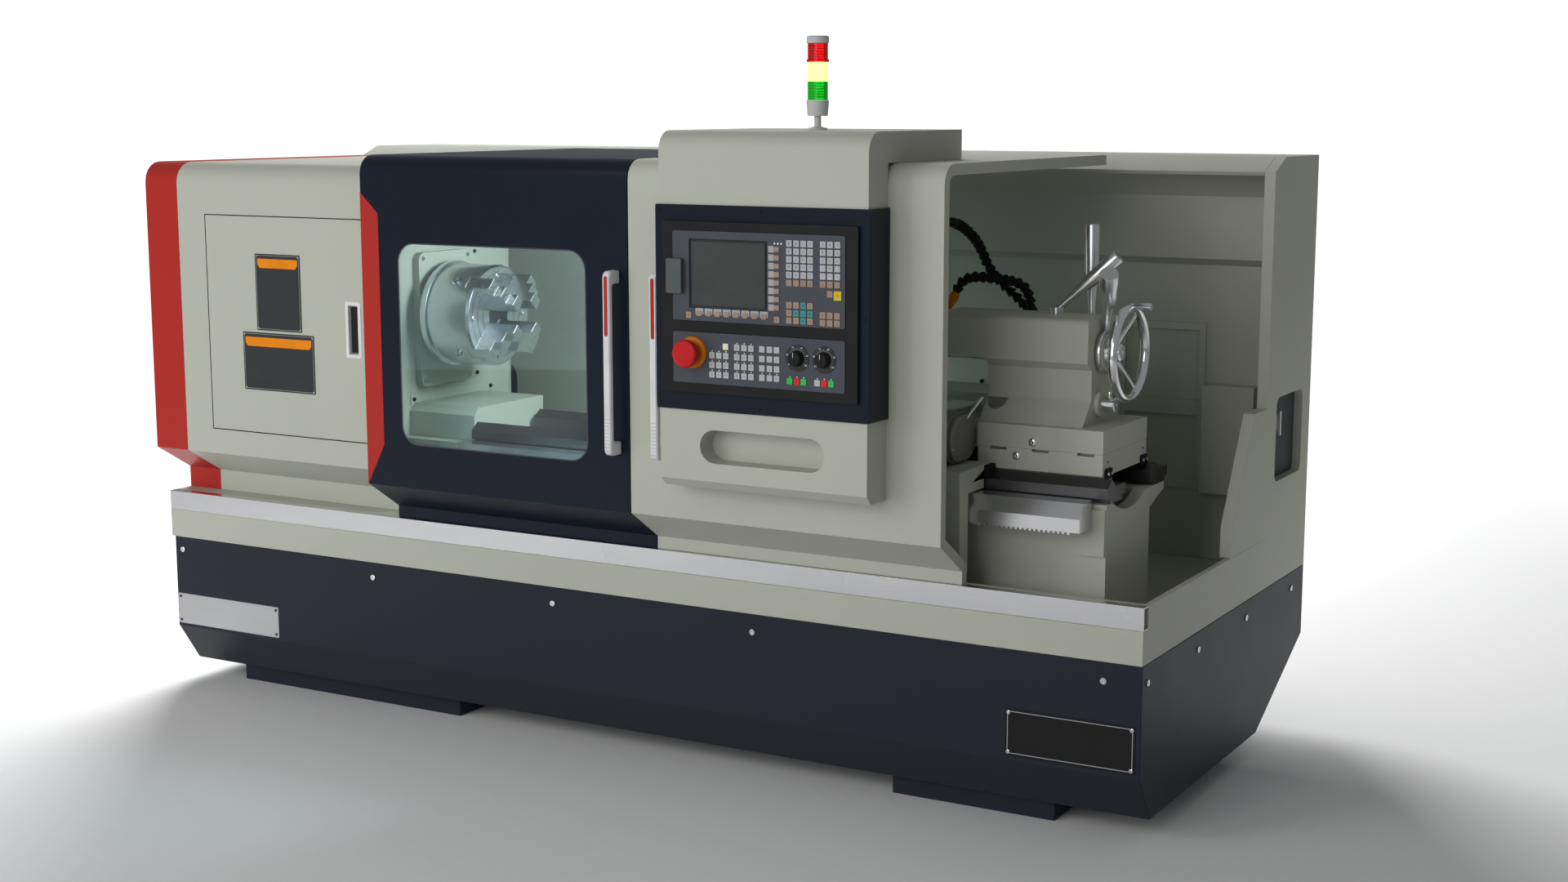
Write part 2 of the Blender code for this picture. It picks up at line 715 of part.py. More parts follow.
def block(name, low, high, paint, body):
    """A plain box between two corners."""
    low, high = Vector(low), Vector(high)
    shape = bmesh.new()
    bmesh.ops.create_cube(shape, size=1, matrix=Matrix.Diagonal((*(high - low), 1)))
    mesh = bpy.data.meshes.new(name)
    shape.to_mesh(mesh)
    shape.free()
    return put(name, mesh, (low + high) / 2, (0, 0, 0), paint, body)


def boxes(name, spans, place, paint, body):
    """Several boxes that don't meet, each from (low, high) measured from one place."""
    shape = bmesh.new()
    for low, high in spans:
        low, high = Vector(low), Vector(high)
        scale = Matrix.Diagonal((*(high - low), 1))
        bmesh.ops.create_cube(shape, size=1, matrix=Matrix.Translation((low + high) / 2) @ scale)
    mesh = bpy.data.meshes.new(name)
    shape.to_mesh(mesh)
    shape.free()
    return put(name, mesh, place, (0, 0, 0), paint, body)


def turned(name, profile, steps, place, turn, paint, body, ring=False):
    """A turned piece: (radius, height) pairs down its outer side, swept round Z by a Screw."""
    mesh = bpy.data.meshes.new(name)
    count = len(profile)
    edges = [(index, (index + 1) % count) for index in range(count if ring else count - 1)]
    mesh.from_pydata([(radius, 0, height) for radius, height in profile], edges, [])
    piece = put(name, mesh, place, turn, paint, body)
    sweep = piece.modifiers.new("turned", "SCREW")
    sweep.steps = sweep.render_steps = steps
    sweep.use_merge_vertices = True
    sweep.merge_threshold = WELD
    return piece


def drum(name, radius, start, end, steps, place, turn, paint, body):
    """A plain cylinder along a turned piece's axis, from start to end."""
    profile = [(0, end), (radius, end), (radius, start), (0, start)]
    return turned(name, profile, steps, place, turn, paint, body)


def rod(name, points, radii, paint, body, origin, resolution=3):
    """A round rod or hose through points, with a radius at each of them."""
    curve = bpy.data.curves.new(name, "CURVE")
    curve.dimensions = "3D"
    curve.bevel_depth = 1.0
    curve.bevel_resolution = resolution
    curve.use_fill_caps = True
    spline = curve.splines.new("POLY")
    spline.points.add(len(points) - 1)
    for point, place, radius in zip(spline.points, points, radii):
        point.co = (*(Vector(place) - Vector(origin)), 1)
        point.radius = radius
    mesh = mesh_from_curve(name, curve)
    return put(name, mesh, origin, (0, 0, 0), paint, body)


def join(piece, tool, operation):
    """A Boolean with the EXACT solver, kept as a modifier."""
    boolean = piece.modifiers.new(tool.name, "BOOLEAN")
    boolean.operation = operation
    boolean.solver = "EXACT"
    boolean.object = tool


def cut(piece, *tools):
    """Take tools away from a piece."""
    for tool in tools:
        join(piece, tool, "DIFFERENCE")


def fuse(piece, *tools):
    """Add tools to a piece, as one body."""
    for tool in tools:
        join(piece, tool, "UNION")


def folded_pan(name, corners, start, end, flange, paint, body, origin=(0, 0)):
    """A sheet bent along a (depth, height) line, with a flange folded in on all four edges."""
    outer = [point - Vector(origin) for point in rounded(corners, closed=False)]
    inner = offset(outer, flange)
    half = (end - start) / 2
    shape = bmesh.new()

    def row(line, x):
        return [shape.verts.new((x, point.x, point.y)) for point in line]

    left_rim, left = row(inner, -half), row(outer, -half)
    right, right_rim = row(outer, half), row(inner, half)
    for first, second in ((left_rim, left), (left, right), (right, right_rim)):
        for step in range(len(outer) - 1):
            shape.faces.new((first[step], second[step], second[step + 1], first[step + 1]))
    shape.faces.new((left_rim[0], right_rim[0], right[0], left[0]))
    shape.faces.new((left[-1], right[-1], right_rim[-1], left_rim[-1]))
    mesh = bpy.data.meshes.new(name)
    shape.to_mesh(mesh)
    shape.free()
    piece = put(name, mesh, ((start + end) / 2, *origin), (0, 0, 0), paint, body)
    shell = piece.modifiers.new("sheet", "SOLIDIFY")
    shell.thickness = SHEET
    shell.offset = -1
    shell.use_even_offset = True
    return piece


def rounded_edges(piece, width, segments=1):
    """A small bevel on the piece's sharp edges."""
    bevel = piece.modifiers.new("edges", "BEVEL")
    bevel.width = width
    bevel.segments = segments
    bevel.limit_method = "ANGLE"
    bevel.harden_normals = False


def make_finishes():
    """The colours of the machine's surfaces."""
    finish("cream_paint", (0.38, 0.39, 0.34), 0.45)
    finish("navy_paint", (0.012, 0.016, 0.026), 0.35)
    finish("cabinet_paint", (0.026, 0.031, 0.039), 0.5)
    finish("red_paint", (0.36, 0.030, 0.027), 0.4)
    finish("satin_steel", (0.55, 0.55, 0.55), 0.35, 1)
    finish("way_steel", (0.10, 0.10, 0.105), 0.4, 1)
    finish("chrome", (0.75, 0.75, 0.76), 0.12, 1)
    finish("dark_iron", (0.09, 0.085, 0.08), 0.5, 0.6)
    finish("window_glass", (0.55, 0.75, 0.70), 0.05)
    finish("black_plastic", (0.023, 0.023, 0.023), 0.5)
    finish("gray_plastic", (0.07, 0.075, 0.085), 0.5)
    finish("silver_plastic", (0.48, 0.48, 0.50), 0.4)
    finish("light_gray_plastic", (0.33, 0.33, 0.33), 0.45)
    finish("estop_red", (0.52, 0.020, 0.024), 0.35)
    finish("lens_green", (0.013, 0.42, 0.06), 0.2)
    finish("lens_amber", (0.9, 0.75, 0.12), 0.2)
    finish("lens_red", (0.55, 0.010, 0.010), 0.2)
    finish("rubber", (0.015, 0.015, 0.015), 0.8)


def make_carriers():
    """One empty for each rigid body, on its joint's axis."""
    carrier("machine", (LENGTH / 2, MIDDLE_DEPTH, 0))
    carriers["machine"][0].location = (0, 0, 0)
    carrier("left_door", (DOOR_START, DOOR_FRONT, DECK), "machine")
    carrier("right_door", (RIGHT_DOOR_START, DOOR_FRONT, DECK), "machine")
    carrier("isolator", (LENGTH - POCKET_DEPTH + SEAT, ISOLATOR_Y, ISOLATOR_Z), "machine")
    carrier("access_door", (ACCESS_START, HOUSE_FRONT, ACCESS_BOTTOM), "machine")
    latch_top = LATCH_BOTTOM + LATCH_HEIGHT - LATCH_LEVER_MARGIN
    carrier("latch", (LATCH_START + LATCH_WIDTH / 2, HOUSE_FRONT + LATCH_LEVER_THICKNESS, latch_top),
        "access_door")
    carrier("spindle", (CHUCK_START, SPINDLE_DEPTH, SPINDLE_HEIGHT), "machine")
    for index in range(JAW_COUNT):
        carrier("jaw_" + str(index + 1), (CHUCK_FACE, SPINDLE_DEPTH, SPINDLE_HEIGHT), "spindle")
    carrier("motor_rotor", (PULLEY_START, MAIN_MOTOR_DEPTH, MAIN_MOTOR_HEIGHT), "machine")
    carrier("carriage", (WEB_START, SLIDE_FRONT, WEB_TOP), "machine")
    carrier("z_screw", (SCREW_START, SCREW_Y, SCREW_Z), "machine")
    carrier("cross_slide", (SLIDE_START, SLIDE_FRONT, SLIDE_BOTTOM), "carriage")
    carrier("turret", (TURRET_X, TURRET_Y, TURRET_BOTTOM), "cross_slide")
    carrier("tailstock", (SOLE_START, SPINDLE_DEPTH, SLAB_BOTTOM), "machine")
    carrier("quill", (BARREL_START, SPINDLE_DEPTH, SPINDLE_HEIGHT), "tailstock")
    carrier("handwheel", (WHEEL_START, SPINDLE_DEPTH, SPINDLE_HEIGHT), "tailstock")
    carrier("quill_lock", (QUILL_LEVER_X, QUILL_LEVER_Y, BARREL_CREST), "tailstock")
    carrier("gear_lever", (GEAR_LEVER_X, SPINDLE_DEPTH, SPINDLE_HEIGHT), "tailstock")
    carrier("bed_lever", (BED_LEVER_X, BED_LEVER_Y, BED_LEVER_Z), "tailstock")
    carrier("clamp_shaft", (COLUMN_END, CLAMP_SHAFT_Y, CLAMP_SHAFT_Z), "tailstock")
    carrier("estop", (*panel_spot(ESTOP_SHARES),), "right_door")
    carrier("feed_knob", (*panel_spot(FEED_DIAL_SHARES),), "right_door")
    carrier("speed_knob", (*panel_spot(SPEED_DIAL_SHARES),), "right_door")
    hinge_x = UNIT_LEFT + USB_COVER_LEFT_SHARE * UNIT_WIDTH
    hinge_z = DISPLAY_BOTTOM + (1 - USB_COVER_BOTTOM_SHARE) * DISPLAY_HEIGHT
    carrier("usb_cover", (hinge_x, UNIT_FRONT - SEAT, hinge_z), "right_door")


def panel_spot(shares):
    """A place on the machine panel's front face."""
    x = UNIT_LEFT + shares[0] * UNIT_WIDTH
    z = PANEL_BOTTOM + (1 - shares[1]) * PANEL_HEIGHT
    return (x, UNIT_FRONT, z)


def display_spot(shares):
    """A place on the display unit's front face, measured from its lower left corner."""
    return (shares[0] * UNIT_WIDTH, (1 - shares[1]) * DISPLAY_HEIGHT)


def base_cabinet():
    """The dark base: one bent-up cabinet on two plinths."""
    outline = [
        (0, BASE_HEIGHT), (0, BASE_BEND_HEIGHT), (BASE_TOE, PLINTH_HEIGHT),
        (DEPTH - BASE_REAR_TOE, PLINTH_HEIGHT), (DEPTH, BASE_REAR_BEND_HEIGHT), (DEPTH, BASE_HEIGHT)]
    cabinet = slab("base_cabinet", [outline], BASE_INSET, LENGTH, ALONG_X, "cabinet_paint", "machine")
    spans = ((LEFT_PLINTH_START, LEFT_PLINTH_LENGTH), (RIGHT_PLINTH_START, RIGHT_PLINTH_LENGTH))
    for number, (start, length) in enumerate(spans):
        low = (start, PLINTH_FRONT, 0)
        high = (start + length, PLINTH_FRONT + PLINTH_DEPTH, PLINTH_HEIGHT + PLINTH_SINK)
        fuse(cabinet, block("plinth_" + str(number), low, high, None, "machine"))


def chip_tray():
    """The pan under the bed, with a raised platform under the headstock."""
    corner = END_PANEL_START - SEAT
    outline = [
        (0, 0), (LENGTH, 0), (LENGTH, GUARD_FRONT - SEAT), (corner, GUARD_FRONT - SEAT), (corner, DEPTH),
        (0, DEPTH)]
    tray = slab("chip_tray", [outline], TRAY_BOTTOM, TRAY_TOP, ALONG_Z, "cream_paint", "machine")
    above = TRAY_TOP + OVERRUN
    pan = block(
        "tray_pan", (PLATFORM_LENGTH, RAIL_DEPTH + SEAT + TRAY_WALL, FLOOR_TOP),
        (LENGTH - TRAY_WALL, DEPTH + OVERRUN, above), None, "machine")
    rear = block(
        "tray_rear_step", (-OVERRUN, BACK_WALL - SEAT, FLOOR_TOP),
        (LENGTH - TRAY_WALL, DEPTH + OVERRUN, above),
        None, "machine")
    front = block(
        "tray_rail_step", (-OVERRUN, -OVERRUN, TRAY_TOP - RAIL_HEIGHT - SEAT),
        (LENGTH + OVERRUN, RAIL_DEPTH + SEAT, above), None, "machine")
    cut(tray, pan, rear, front)


def front_rail():
    """The bright folded channel along the tray's front."""
    bottom = TRAY_TOP - RAIL_HEIGHT
    outline = [
        (0, bottom), (RAIL_DEPTH, bottom), (RAIL_DEPTH, bottom + SHEET), (SHEET, bottom + SHEET),
        (SHEET, TRAY_TOP - SHEET), (RAIL_DEPTH, TRAY_TOP - SHEET), (RAIL_DEPTH, TRAY_TOP), (0, TRAY_TOP)]
    slab("front_rail", [outline], 0, LENGTH, ALONG_X, "satin_steel", "machine")


def rear_guard():
    """The back of the enclosure: roof edge, folded back wall, framed panel and cable box."""
    outline = [
        (GUARD_FRONT, GUARD_EDGE), (GUARD_FRONT + GUARD_CHAMFER_DEPTH, GUARD_TOP), (DEPTH, GUARD_TOP),
        (DEPTH, FLOOR_TOP + SEAT), (BACK_WALL, FLOOR_TOP + SEAT),
        (BACK_WALL, GUARD_FOLD_HEIGHT - GUARD_FOLD_DROP),
        (DEPTH - GUARD_SLOPE_DEPTH, GUARD_FOLD_HEIGHT), (DEPTH - GUARD_SLOPE_DEPTH, GUARD_SLOPE_HEIGHT),
        (DEPTH - GUARD_CEILING_DEPTH, GUARD_EDGE - GUARD_LIP),
        (GUARD_FRONT + GUARD_LIP, GUARD_EDGE - GUARD_LIP)]
    guard = slab("rear_guard", [outline], 0, END_PANEL_START - SEAT, ALONG_X, "cream_paint", "machine")
    back = BACK_WALL + TRAY_WALL
    frame = block(
        "wall_frame", (WALL_FRAME_START, BACK_WALL - WALL_FRAME_PROUD, WALL_FRAME_BOTTOM),
        (WALL_FRAME_START + WALL_FRAME_WIDTH, back, WALL_FRAME_BOTTOM + WALL_FRAME_HEIGHT), None,
        "machine")
    box = block(
        "wall_box", (WALL_BOX_START, BACK_WALL - WALL_BOX_PROUD, WALL_BOX_BOTTOM),
        (WALL_BOX_START + WALL_BOX_WIDTH, back, WALL_BOX_BOTTOM + WALL_BOX_HEIGHT), None, "machine")
    fuse(guard, frame, box)
    middle = WALL_FRAME_BOTTOM + WALL_FRAME_HEIGHT * WALL_FRAME_MIDDLE_SHARE
    spans = ((WALL_FRAME_BOTTOM + WALL_FRAME_RIM, middle - WALL_FRAME_RIM),
             (middle + WALL_FRAME_RIM, WALL_FRAME_BOTTOM + WALL_FRAME_HEIGHT - WALL_FRAME_RIM))
    for number, (bottom, top) in enumerate(spans):
        low = (WALL_FRAME_START + WALL_FRAME_RIM, BACK_WALL - OVERRUN, bottom)
        high = (WALL_FRAME_START + WALL_FRAME_WIDTH - WALL_FRAME_RIM, BACK_WALL - WALL_FRAME_PROUD
                + WALL_PANEL_RECESS, top)
        cut(guard, block("wall_panel_" + str(number), low, high, None, "machine"))


def rear_guard_end():
    """The enclosure's right end: one panel whose lower front edge runs out as a gusset."""
    outline = [
        (DEPTH, TRAY_BOTTOM), (DEPTH, GUARD_TOP), (GUARD_FRONT + GUARD_CHAMFER_DEPTH, GUARD_TOP),
        (GUARD_FRONT, GUARD_EDGE), (GUARD_FRONT, DECK + GUSSET_HEIGHT),
        (GUARD_FRONT - GUSSET_TOP_REACH, DECK + GUSSET_HEIGHT),
        (GUARD_FRONT - GUSSET_TOE_REACH, DECK + GUSSET_TOE_HEIGHT),
        (GUARD_FRONT - GUSSET_TOE_REACH, DECK),
        (GUARD_FRONT, DECK), (GUARD_FRONT, TRAY_BOTTOM)]
    panel = slab("rear_guard_end", [outline], END_PANEL_START, LENGTH, ALONG_X, "cream_paint", "machine")
    pocket = slab(
        "isolator_pocket", [rounded(rectangle(
            POCKET_FRONT, POCKET_BOTTOM, POCKET_WIDTH, POCKET_HEIGHT, POCKET_RADIUS))],
        LENGTH - POCKET_DEPTH, LENGTH + OVERRUN, ALONG_X, None, "machine")
    cut(panel, pocket)


def isolator_lever():
    """The mains switch handle in the end panel's pocket: a round base with a grip bar."""
    floor = LENGTH - POCKET_DEPTH + SEAT
    base_top = floor + ISOLATOR_BASE_HEIGHT
    base = [
        (0, ISOLATOR_BASE_HEIGHT), (ISOLATOR_BASE_RADIUS, ISOLATOR_BASE_HEIGHT),
        (ISOLATOR_BASE_RADIUS, 0), (0, 0)]
    place = (floor, ISOLATOR_Y, ISOLATOR_Z)
    handle = turned("isolator_lever", base, STACK_STEPS, place, AXIS_RIGHT, "satin_steel", "isolator")
    half = ISOLATOR_GRIP_WIDTH / 2
    grip = block(
        "isolator_grip", (base_top - ROOT_SINK, ISOLATOR_Y - half, ISOLATOR_Z - ISOLATOR_GRIP_REACH),
        (base_top + ISOLATOR_GRIP_HEIGHT, ISOLATOR_Y + half, ISOLATOR_Z + ISOLATOR_GRIP_REACH), None,
        "isolator")
    fuse(handle, grip)


def way_outline(front):
    """Section of a bed way: a sharp peak, a flat, and an undercut foot."""
    rear = front + WAY_WIDTH
    return [
        (front, WAY_SEAT + WAY_UNDERCUT), (front + WAY_UNDERCUT_REACH, WAY_SEAT + WAY_UNDERCUT),
        (front + WAY_UNDERCUT_REACH, WAY_SEAT), (rear - WAY_UNDERCUT_REACH, WAY_SEAT),
        (rear - WAY_UNDERCUT_REACH, WAY_SEAT + WAY_UNDERCUT), (rear, WAY_SEAT + WAY_UNDERCUT),
        (rear, WAY_FLAT),
        (front + WAY_VALLEY, WAY_FLAT), (front + WAY_PEAK, WAY_CREST), (front, WAY_FLAT)]


def bed_ways():
    """The two hardened ways on the bed."""
    for name, front in (("front_way", WAY_FRONT), ("rear_way", WAY_FRONT + WAY_SPACING)):
        slab(name, [way_outline(front)], WAY_START, BED_END, ALONG_X, "way_steel", "machine")


def bed_casting():
    """The bed: two walls joined by ribs, open on top, with a shelf under the rear way."""
    bottom = FLOOR_TOP + SEAT
    outline = [
        (BED_FRONT, bottom), (BED_FRONT, BED_TOP), (BED_REAR + BED_SHELF_REACH, BED_TOP),
        (BED_REAR + BED_SHELF_REACH, BED_TOP - BED_SHELF_HEIGHT),
        (BED_REAR, BED_TOP - BED_SHELF_HEIGHT - BED_SHELF_DROP), (BED_REAR, bottom + BED_FOOT_HEIGHT),
        (BED_REAR + BED_FOOT_REACH, bottom + BED_FOOT_HEIGHT), (BED_REAR + BED_FOOT_REACH, bottom)]
    bed = slab("bed_casting", [outline], BED_START, BED_END, ALONG_X, "cream_paint", "machine")
    pad = block(
        "bed_pad", (BED_END - BED_PAD_LENGTH, BED_FRONT - BED_PAD_PROUD, BED_TOP - BED_PAD_HEIGHT),
        (BED_END - ROOT_SINK, BED_FRONT + BED_WALL / 2, BED_TOP - WAY_UNDERCUT), None, "machine")
    blocks = []
    ends = (("left_screw_block", SCREW_START), ("right_screw_block", SCREW_END - SCREW_BLOCK_LENGTH))
    for name, start in ends:
        low = (start, BED_REAR - BED_WALL / 2, SCREW_Z - SCREW_BLOCK_HEIGHT / 2)
        high = (start + SCREW_BLOCK_LENGTH, SCREW_Y + SCREW_BLOCK_WIDTH / 2,
            BED_TOP - BED_SHELF_HEIGHT / 2)
        blocks.append(block(name, low, high, None, "machine"))
    fuse(bed, pad, *blocks)
    channel_start = HEADSTOCK_FACE + FOOT_BLOCK_LENGTH + BED_END_WALL
    channel_end = BED_END - BED_END_WALL
    inner_front, inner_rear = BED_FRONT + BED_WALL, BED_REAR - BED_WALL * 3 / 4
    channel = block(
        "bed_channel", (channel_start, inner_front, BED_TOP - BED_CHANNEL_DEPTH),
        (channel_end, inner_rear, BED_TOP + OVERRUN), None, "machine")
    pitch = (channel_end - channel_start + BED_RIB) / BED_POCKETS
    spans = []
    for number in range(BED_POCKETS):
        start = channel_start + pitch * number
        low = (start, inner_front, BED_TOP - BED_POCKET_DEPTH)
        spans.append((low, (start + pitch - BED_RIB, inner_rear, BED_TOP - BED_CHANNEL_DEPTH + OVERRUN)))
    pockets = boxes("bed_pockets", spans, (0, 0, 0), None, "machine")
    width = inner_rear - inner_front
    radius = (width * width / 4 + BED_SCOOP_DEPTH ** 2) / (2 * BED_SCOOP_DEPTH)
    middle = (inner_front + inner_rear) / 2
    scoop = drum(
        "bed_scoop", radius, -BED_END_WALL - OVERRUN, OVERRUN, SCOOP_STEPS,
        (BED_END, middle, BED_TOP - BED_SCOOP_DEPTH + radius), AXIS_RIGHT, None, "machine")
    platform = block(
        "bed_platform_step", (BED_START - OVERRUN, -OVERRUN, bottom - OVERRUN),
        (PLATFORM_LENGTH + SEAT, DEPTH, DECK), None, "machine")
    bores = drum(
        "bed_screw_bores", SCREW_BLOCK_BORE, SCREW_START - OVERRUN, SCREW_END + OVERRUN, SMALL_STEPS,
        (0, SCREW_Y, SCREW_Z), AXIS_RIGHT, None, "machine")
    cut(bed, channel, pockets, scoop, platform, bores)


def rack_bar():
    """The beam along the bed's front with rack teeth on its underside."""
    rear = BED_FRONT - BED_PAD_PROUD - SEAT
    top = RACK_BEAM_BOTTOM + RACK_BEAM_HEIGHT
    section = [
        (RACK_BEAM_FRONT, RACK_BEAM_BOTTOM), (rear, RACK_BEAM_BOTTOM), (rear, top),
        (RACK_BEAM_FRONT + RACK_BEAM_CHAMFER, top), (RACK_BEAM_FRONT, RACK_BEAM_BOTTOM + RACK_BEAM_FACE)]
    bar = slab("rack_bar", [section], WAY_START, RACK_END, ALONG_X, "satin_steel", "machine")
    pitch = math.pi * RACK_MODULE
    face = RACK_BEAM_FRONT + RACK_FACE_SETBACK
    root = RACK_BEAM_BOTTOM - RACK_MODULE / 2
    tip = root - 3 / 2 * RACK_MODULE
    start, end = WAY_START + RACK_END_MARGIN, RACK_END - RACK_END_MARGIN
    strip = block(
        "rack_strip", (start, face, tip), (end, face + RACK_FACE_WIDTH, RACK_BEAM_BOTTOM + ROOT_SINK),
        None, "machine")
    fuse(bar, strip)
    cut(bar, rack_gaps(start + pitch / 2, int((end - start) / pitch), pitch, root, tip, face))


def rack_gaps(start, count, pitch, root, tip, face):
    """The wedges between the rack's teeth, one closed prism for each gap."""
    gap = flat_mesh("rack_gap", [[
        (-pitch / 8, root), (pitch / 8, root), (pitch * 3 / 8, tip - ROOT_SINK),
        (-pitch * 3 / 8, tip - ROOT_SINK)]],
        RACK_FACE_WIDTH + 2 * OVERRUN)
    shape = bmesh.new()
    for number in range(count):
        gap.transform(Matrix.Translation((start if number == 0 else pitch, 0, 0)))
        shape.from_mesh(gap)
    mesh = bpy.data.meshes.new("rack_gaps")
    shape.to_mesh(mesh)
    shape.free()
    return put("rack_gaps", mesh, (0, face + RACK_FACE_WIDTH / 2, 0), ALONG_Y, None, "machine")


def headstock_casting():
    """The headstock: a round-cornered casting with a nose plate and a stepped foot."""
    outline = rounded([
        (HEADSTOCK_START, HEADSTOCK_FRONT), (HEADSTOCK_FACE, HEADSTOCK_FRONT),
        (HEADSTOCK_FACE, HEADSTOCK_REAR, HEADSTOCK_CORNER), (HEADSTOCK_START, HEADSTOCK_REAR)])
    bottom = BED_TOP + SEAT
    casting = slab("headstock_casting", [outline], bottom, HEADSTOCK_TOP, ALONG_Z, "cream_paint",
        "machine")
    left = SPINDLE_DEPTH - NOSE_PLATE_WIDTH / 2
    low = SPINDLE_HEIGHT - NOSE_PLATE_DROP - NOSE_PLATE_HEIGHT / 2
    plate = slab(
        "nose_plate", [rounded(rectangle(left, low, NOSE_PLATE_WIDTH, NOSE_PLATE_HEIGHT,
            NOSE_PLATE_THICKNESS))],
        HEADSTOCK_FACE - OVERRUN, HEADSTOCK_FACE + NOSE_PLATE_THICKNESS, ALONG_X, None, "machine")
    foot_top = bottom + FOOT_BLOCK_HEIGHT
    foot_rear = FOOT_BLOCK_FRONT + FOOT_BLOCK_DEPTH
    section = [
        (FOOT_BLOCK_FRONT, bottom), (foot_rear, bottom), (foot_rear, foot_top),
        (FOOT_BLOCK_FRONT + FOOT_BLOCK_SLOPE, foot_top), (FOOT_BLOCK_FRONT, foot_top - FOOT_BLOCK_SLOPE)]
    foot = slab(
        "foot_block", [section], HEADSTOCK_FACE - OVERRUN, HEADSTOCK_FACE + FOOT_BLOCK_LENGTH, ALONG_X,
        None,
        "machine")
    fuse(casting, plate, foot)
    bore = drum(
        "spindle_bore", HEADSTOCK_BORE / 2, HEADSTOCK_START - OVERRUN, HEADSTOCK_FACE + OVERRUN * 2,
        ROUND_STEPS,
        (0, SPINDLE_DEPTH, SPINDLE_HEIGHT), AXIS_RIGHT, None, "machine")
    cut(casting, bore)


def house_line():
    """The headstock guard's bent line, from its toe on the platform to its roof's rear edge."""
    return [
        (HOUSE_TOE, DECK), (HOUSE_TOE, DECK + HOUSE_TOE_HEIGHT), (HOUSE_FRONT, DECK + HOUSE_BELLY_HEIGHT),
        (HOUSE_FRONT, HOUSE_TOP, HOUSE_RADIUS), (GUARD_FRONT - SEAT, HOUSE_TOP)]


def headstock_guard():
    """The cream sheet guard over the headstock, with its door opening."""
    guard = folded_pan(
        "headstock_guard", house_line(), END_COVER_LENGTH + SEAT, HOUSE_LENGTH, HOUSE_FLANGE,
        "cream_paint", "machine")
    opening = block(
        "access_opening",
        (ACCESS_START - RUNNING_GAP, HOUSE_FRONT - OVERRUN, ACCESS_BOTTOM - RUNNING_GAP),
        (ACCESS_START + ACCESS_WIDTH + RUNNING_GAP, HOUSE_FRONT + OVERRUN, ACCESS_BOTTOM + ACCESS_HEIGHT
         + RUNNING_GAP), None, "machine")
    cut(guard, opening)


def end_cover():
    """The red cover that closes the left end, open towards the headstock and below."""
    rear = GUARD_FRONT - SEAT
    corners = house_line() + [(rear, END_COVER_REAR_TOP), (END_COVER_REAR, END_COVER_REAR_TOP),
        (END_COVER_REAR, DECK)]
    cover = slab("end_cover", [rounded(corners)], 0, END_COVER_LENGTH, ALONG_X, "red_paint", "machine")
    inner = offset(rounded(corners, closed=False), SHEET)
    inner[0].y -= OVERRUN
    inner[-1].y -= OVERRUN
    hollow = slab(
        "end_cover_hollow", [inner], SHEET, END_COVER_LENGTH + OVERRUN, ALONG_X, None, "machine")
    cut(cover, hollow)


def access_door():
    """The headstock door, a folded pan hinged at its left edge, with a latch cup."""
    left, bottom = ACCESS_START, ACCESS_BOTTOM
    right, top = left + ACCESS_WIDTH, bottom + ACCESS_HEIGHT
    door = block(
        "access_door", (left, HOUSE_FRONT, bottom), (right, HOUSE_FRONT + ACCESS_FLANGE, top),
        "cream_paint",
        "access_door")
    hollow = block(
        "access_door_hollow", (left + SHEET, HOUSE_FRONT + SHEET, bottom + SHEET),
        (right - SHEET, HOUSE_FRONT + ACCESS_FLANGE + OVERRUN, top - SHEET), None, "access_door")
    rear = HOUSE_FRONT + LATCH_CUP_DEPTH
    cup = slab(
        "latch_cup", [rounded(rectangle(
            LATCH_START - SHEET, LATCH_BOTTOM - SHEET, LATCH_WIDTH + 2 * SHEET, LATCH_HEIGHT + 2 * SHEET,
            SHEET))], HOUSE_FRONT + SHEET / 2, rear + SHEET, ALONG_Y, None, "access_door")
    pocket = slab(
        "latch_pocket", [rounded(rectangle(LATCH_START, LATCH_BOTTOM, LATCH_WIDTH, LATCH_HEIGHT, SHEET))],
        HOUSE_FRONT - OVERRUN, rear, ALONG_Y, None, "access_door")
    cut(door, hollow)
    fuse(door, cup)
    cut(door, pocket)
    lever = slab(
        "door_latch", [rounded(rectangle(
            LATCH_START + LATCH_LEVER_MARGIN, LATCH_BOTTOM + LATCH_LEVER_MARGIN,
            LATCH_WIDTH - 2 * LATCH_LEVER_MARGIN, LATCH_HEIGHT - 2 * LATCH_LEVER_MARGIN, SHEET))],
        rear - SEAT - LATCH_LEVER_THICKNESS, rear - SEAT, ALONG_Y, "black_plastic", "latch",
        (LATCH_START + LATCH_WIDTH / 2, LATCH_BOTTOM + LATCH_HEIGHT - LATCH_LEVER_MARGIN))
    rounded_edges(lever, SHEET / 3)


def door_line():
    """A sliding door's bent line, from its toe on the rail to its roof's rear edge."""
    return [
        (DOOR_TOE, DECK), (DOOR_TOE, DECK + DOOR_TOE_HEIGHT), (DOOR_FRONT, DECK + DOOR_BELLY_HEIGHT),
        (DOOR_FRONT, DOOR_TOP, DOOR_RADIUS), (DOOR_REAR, DOOR_TOP)]


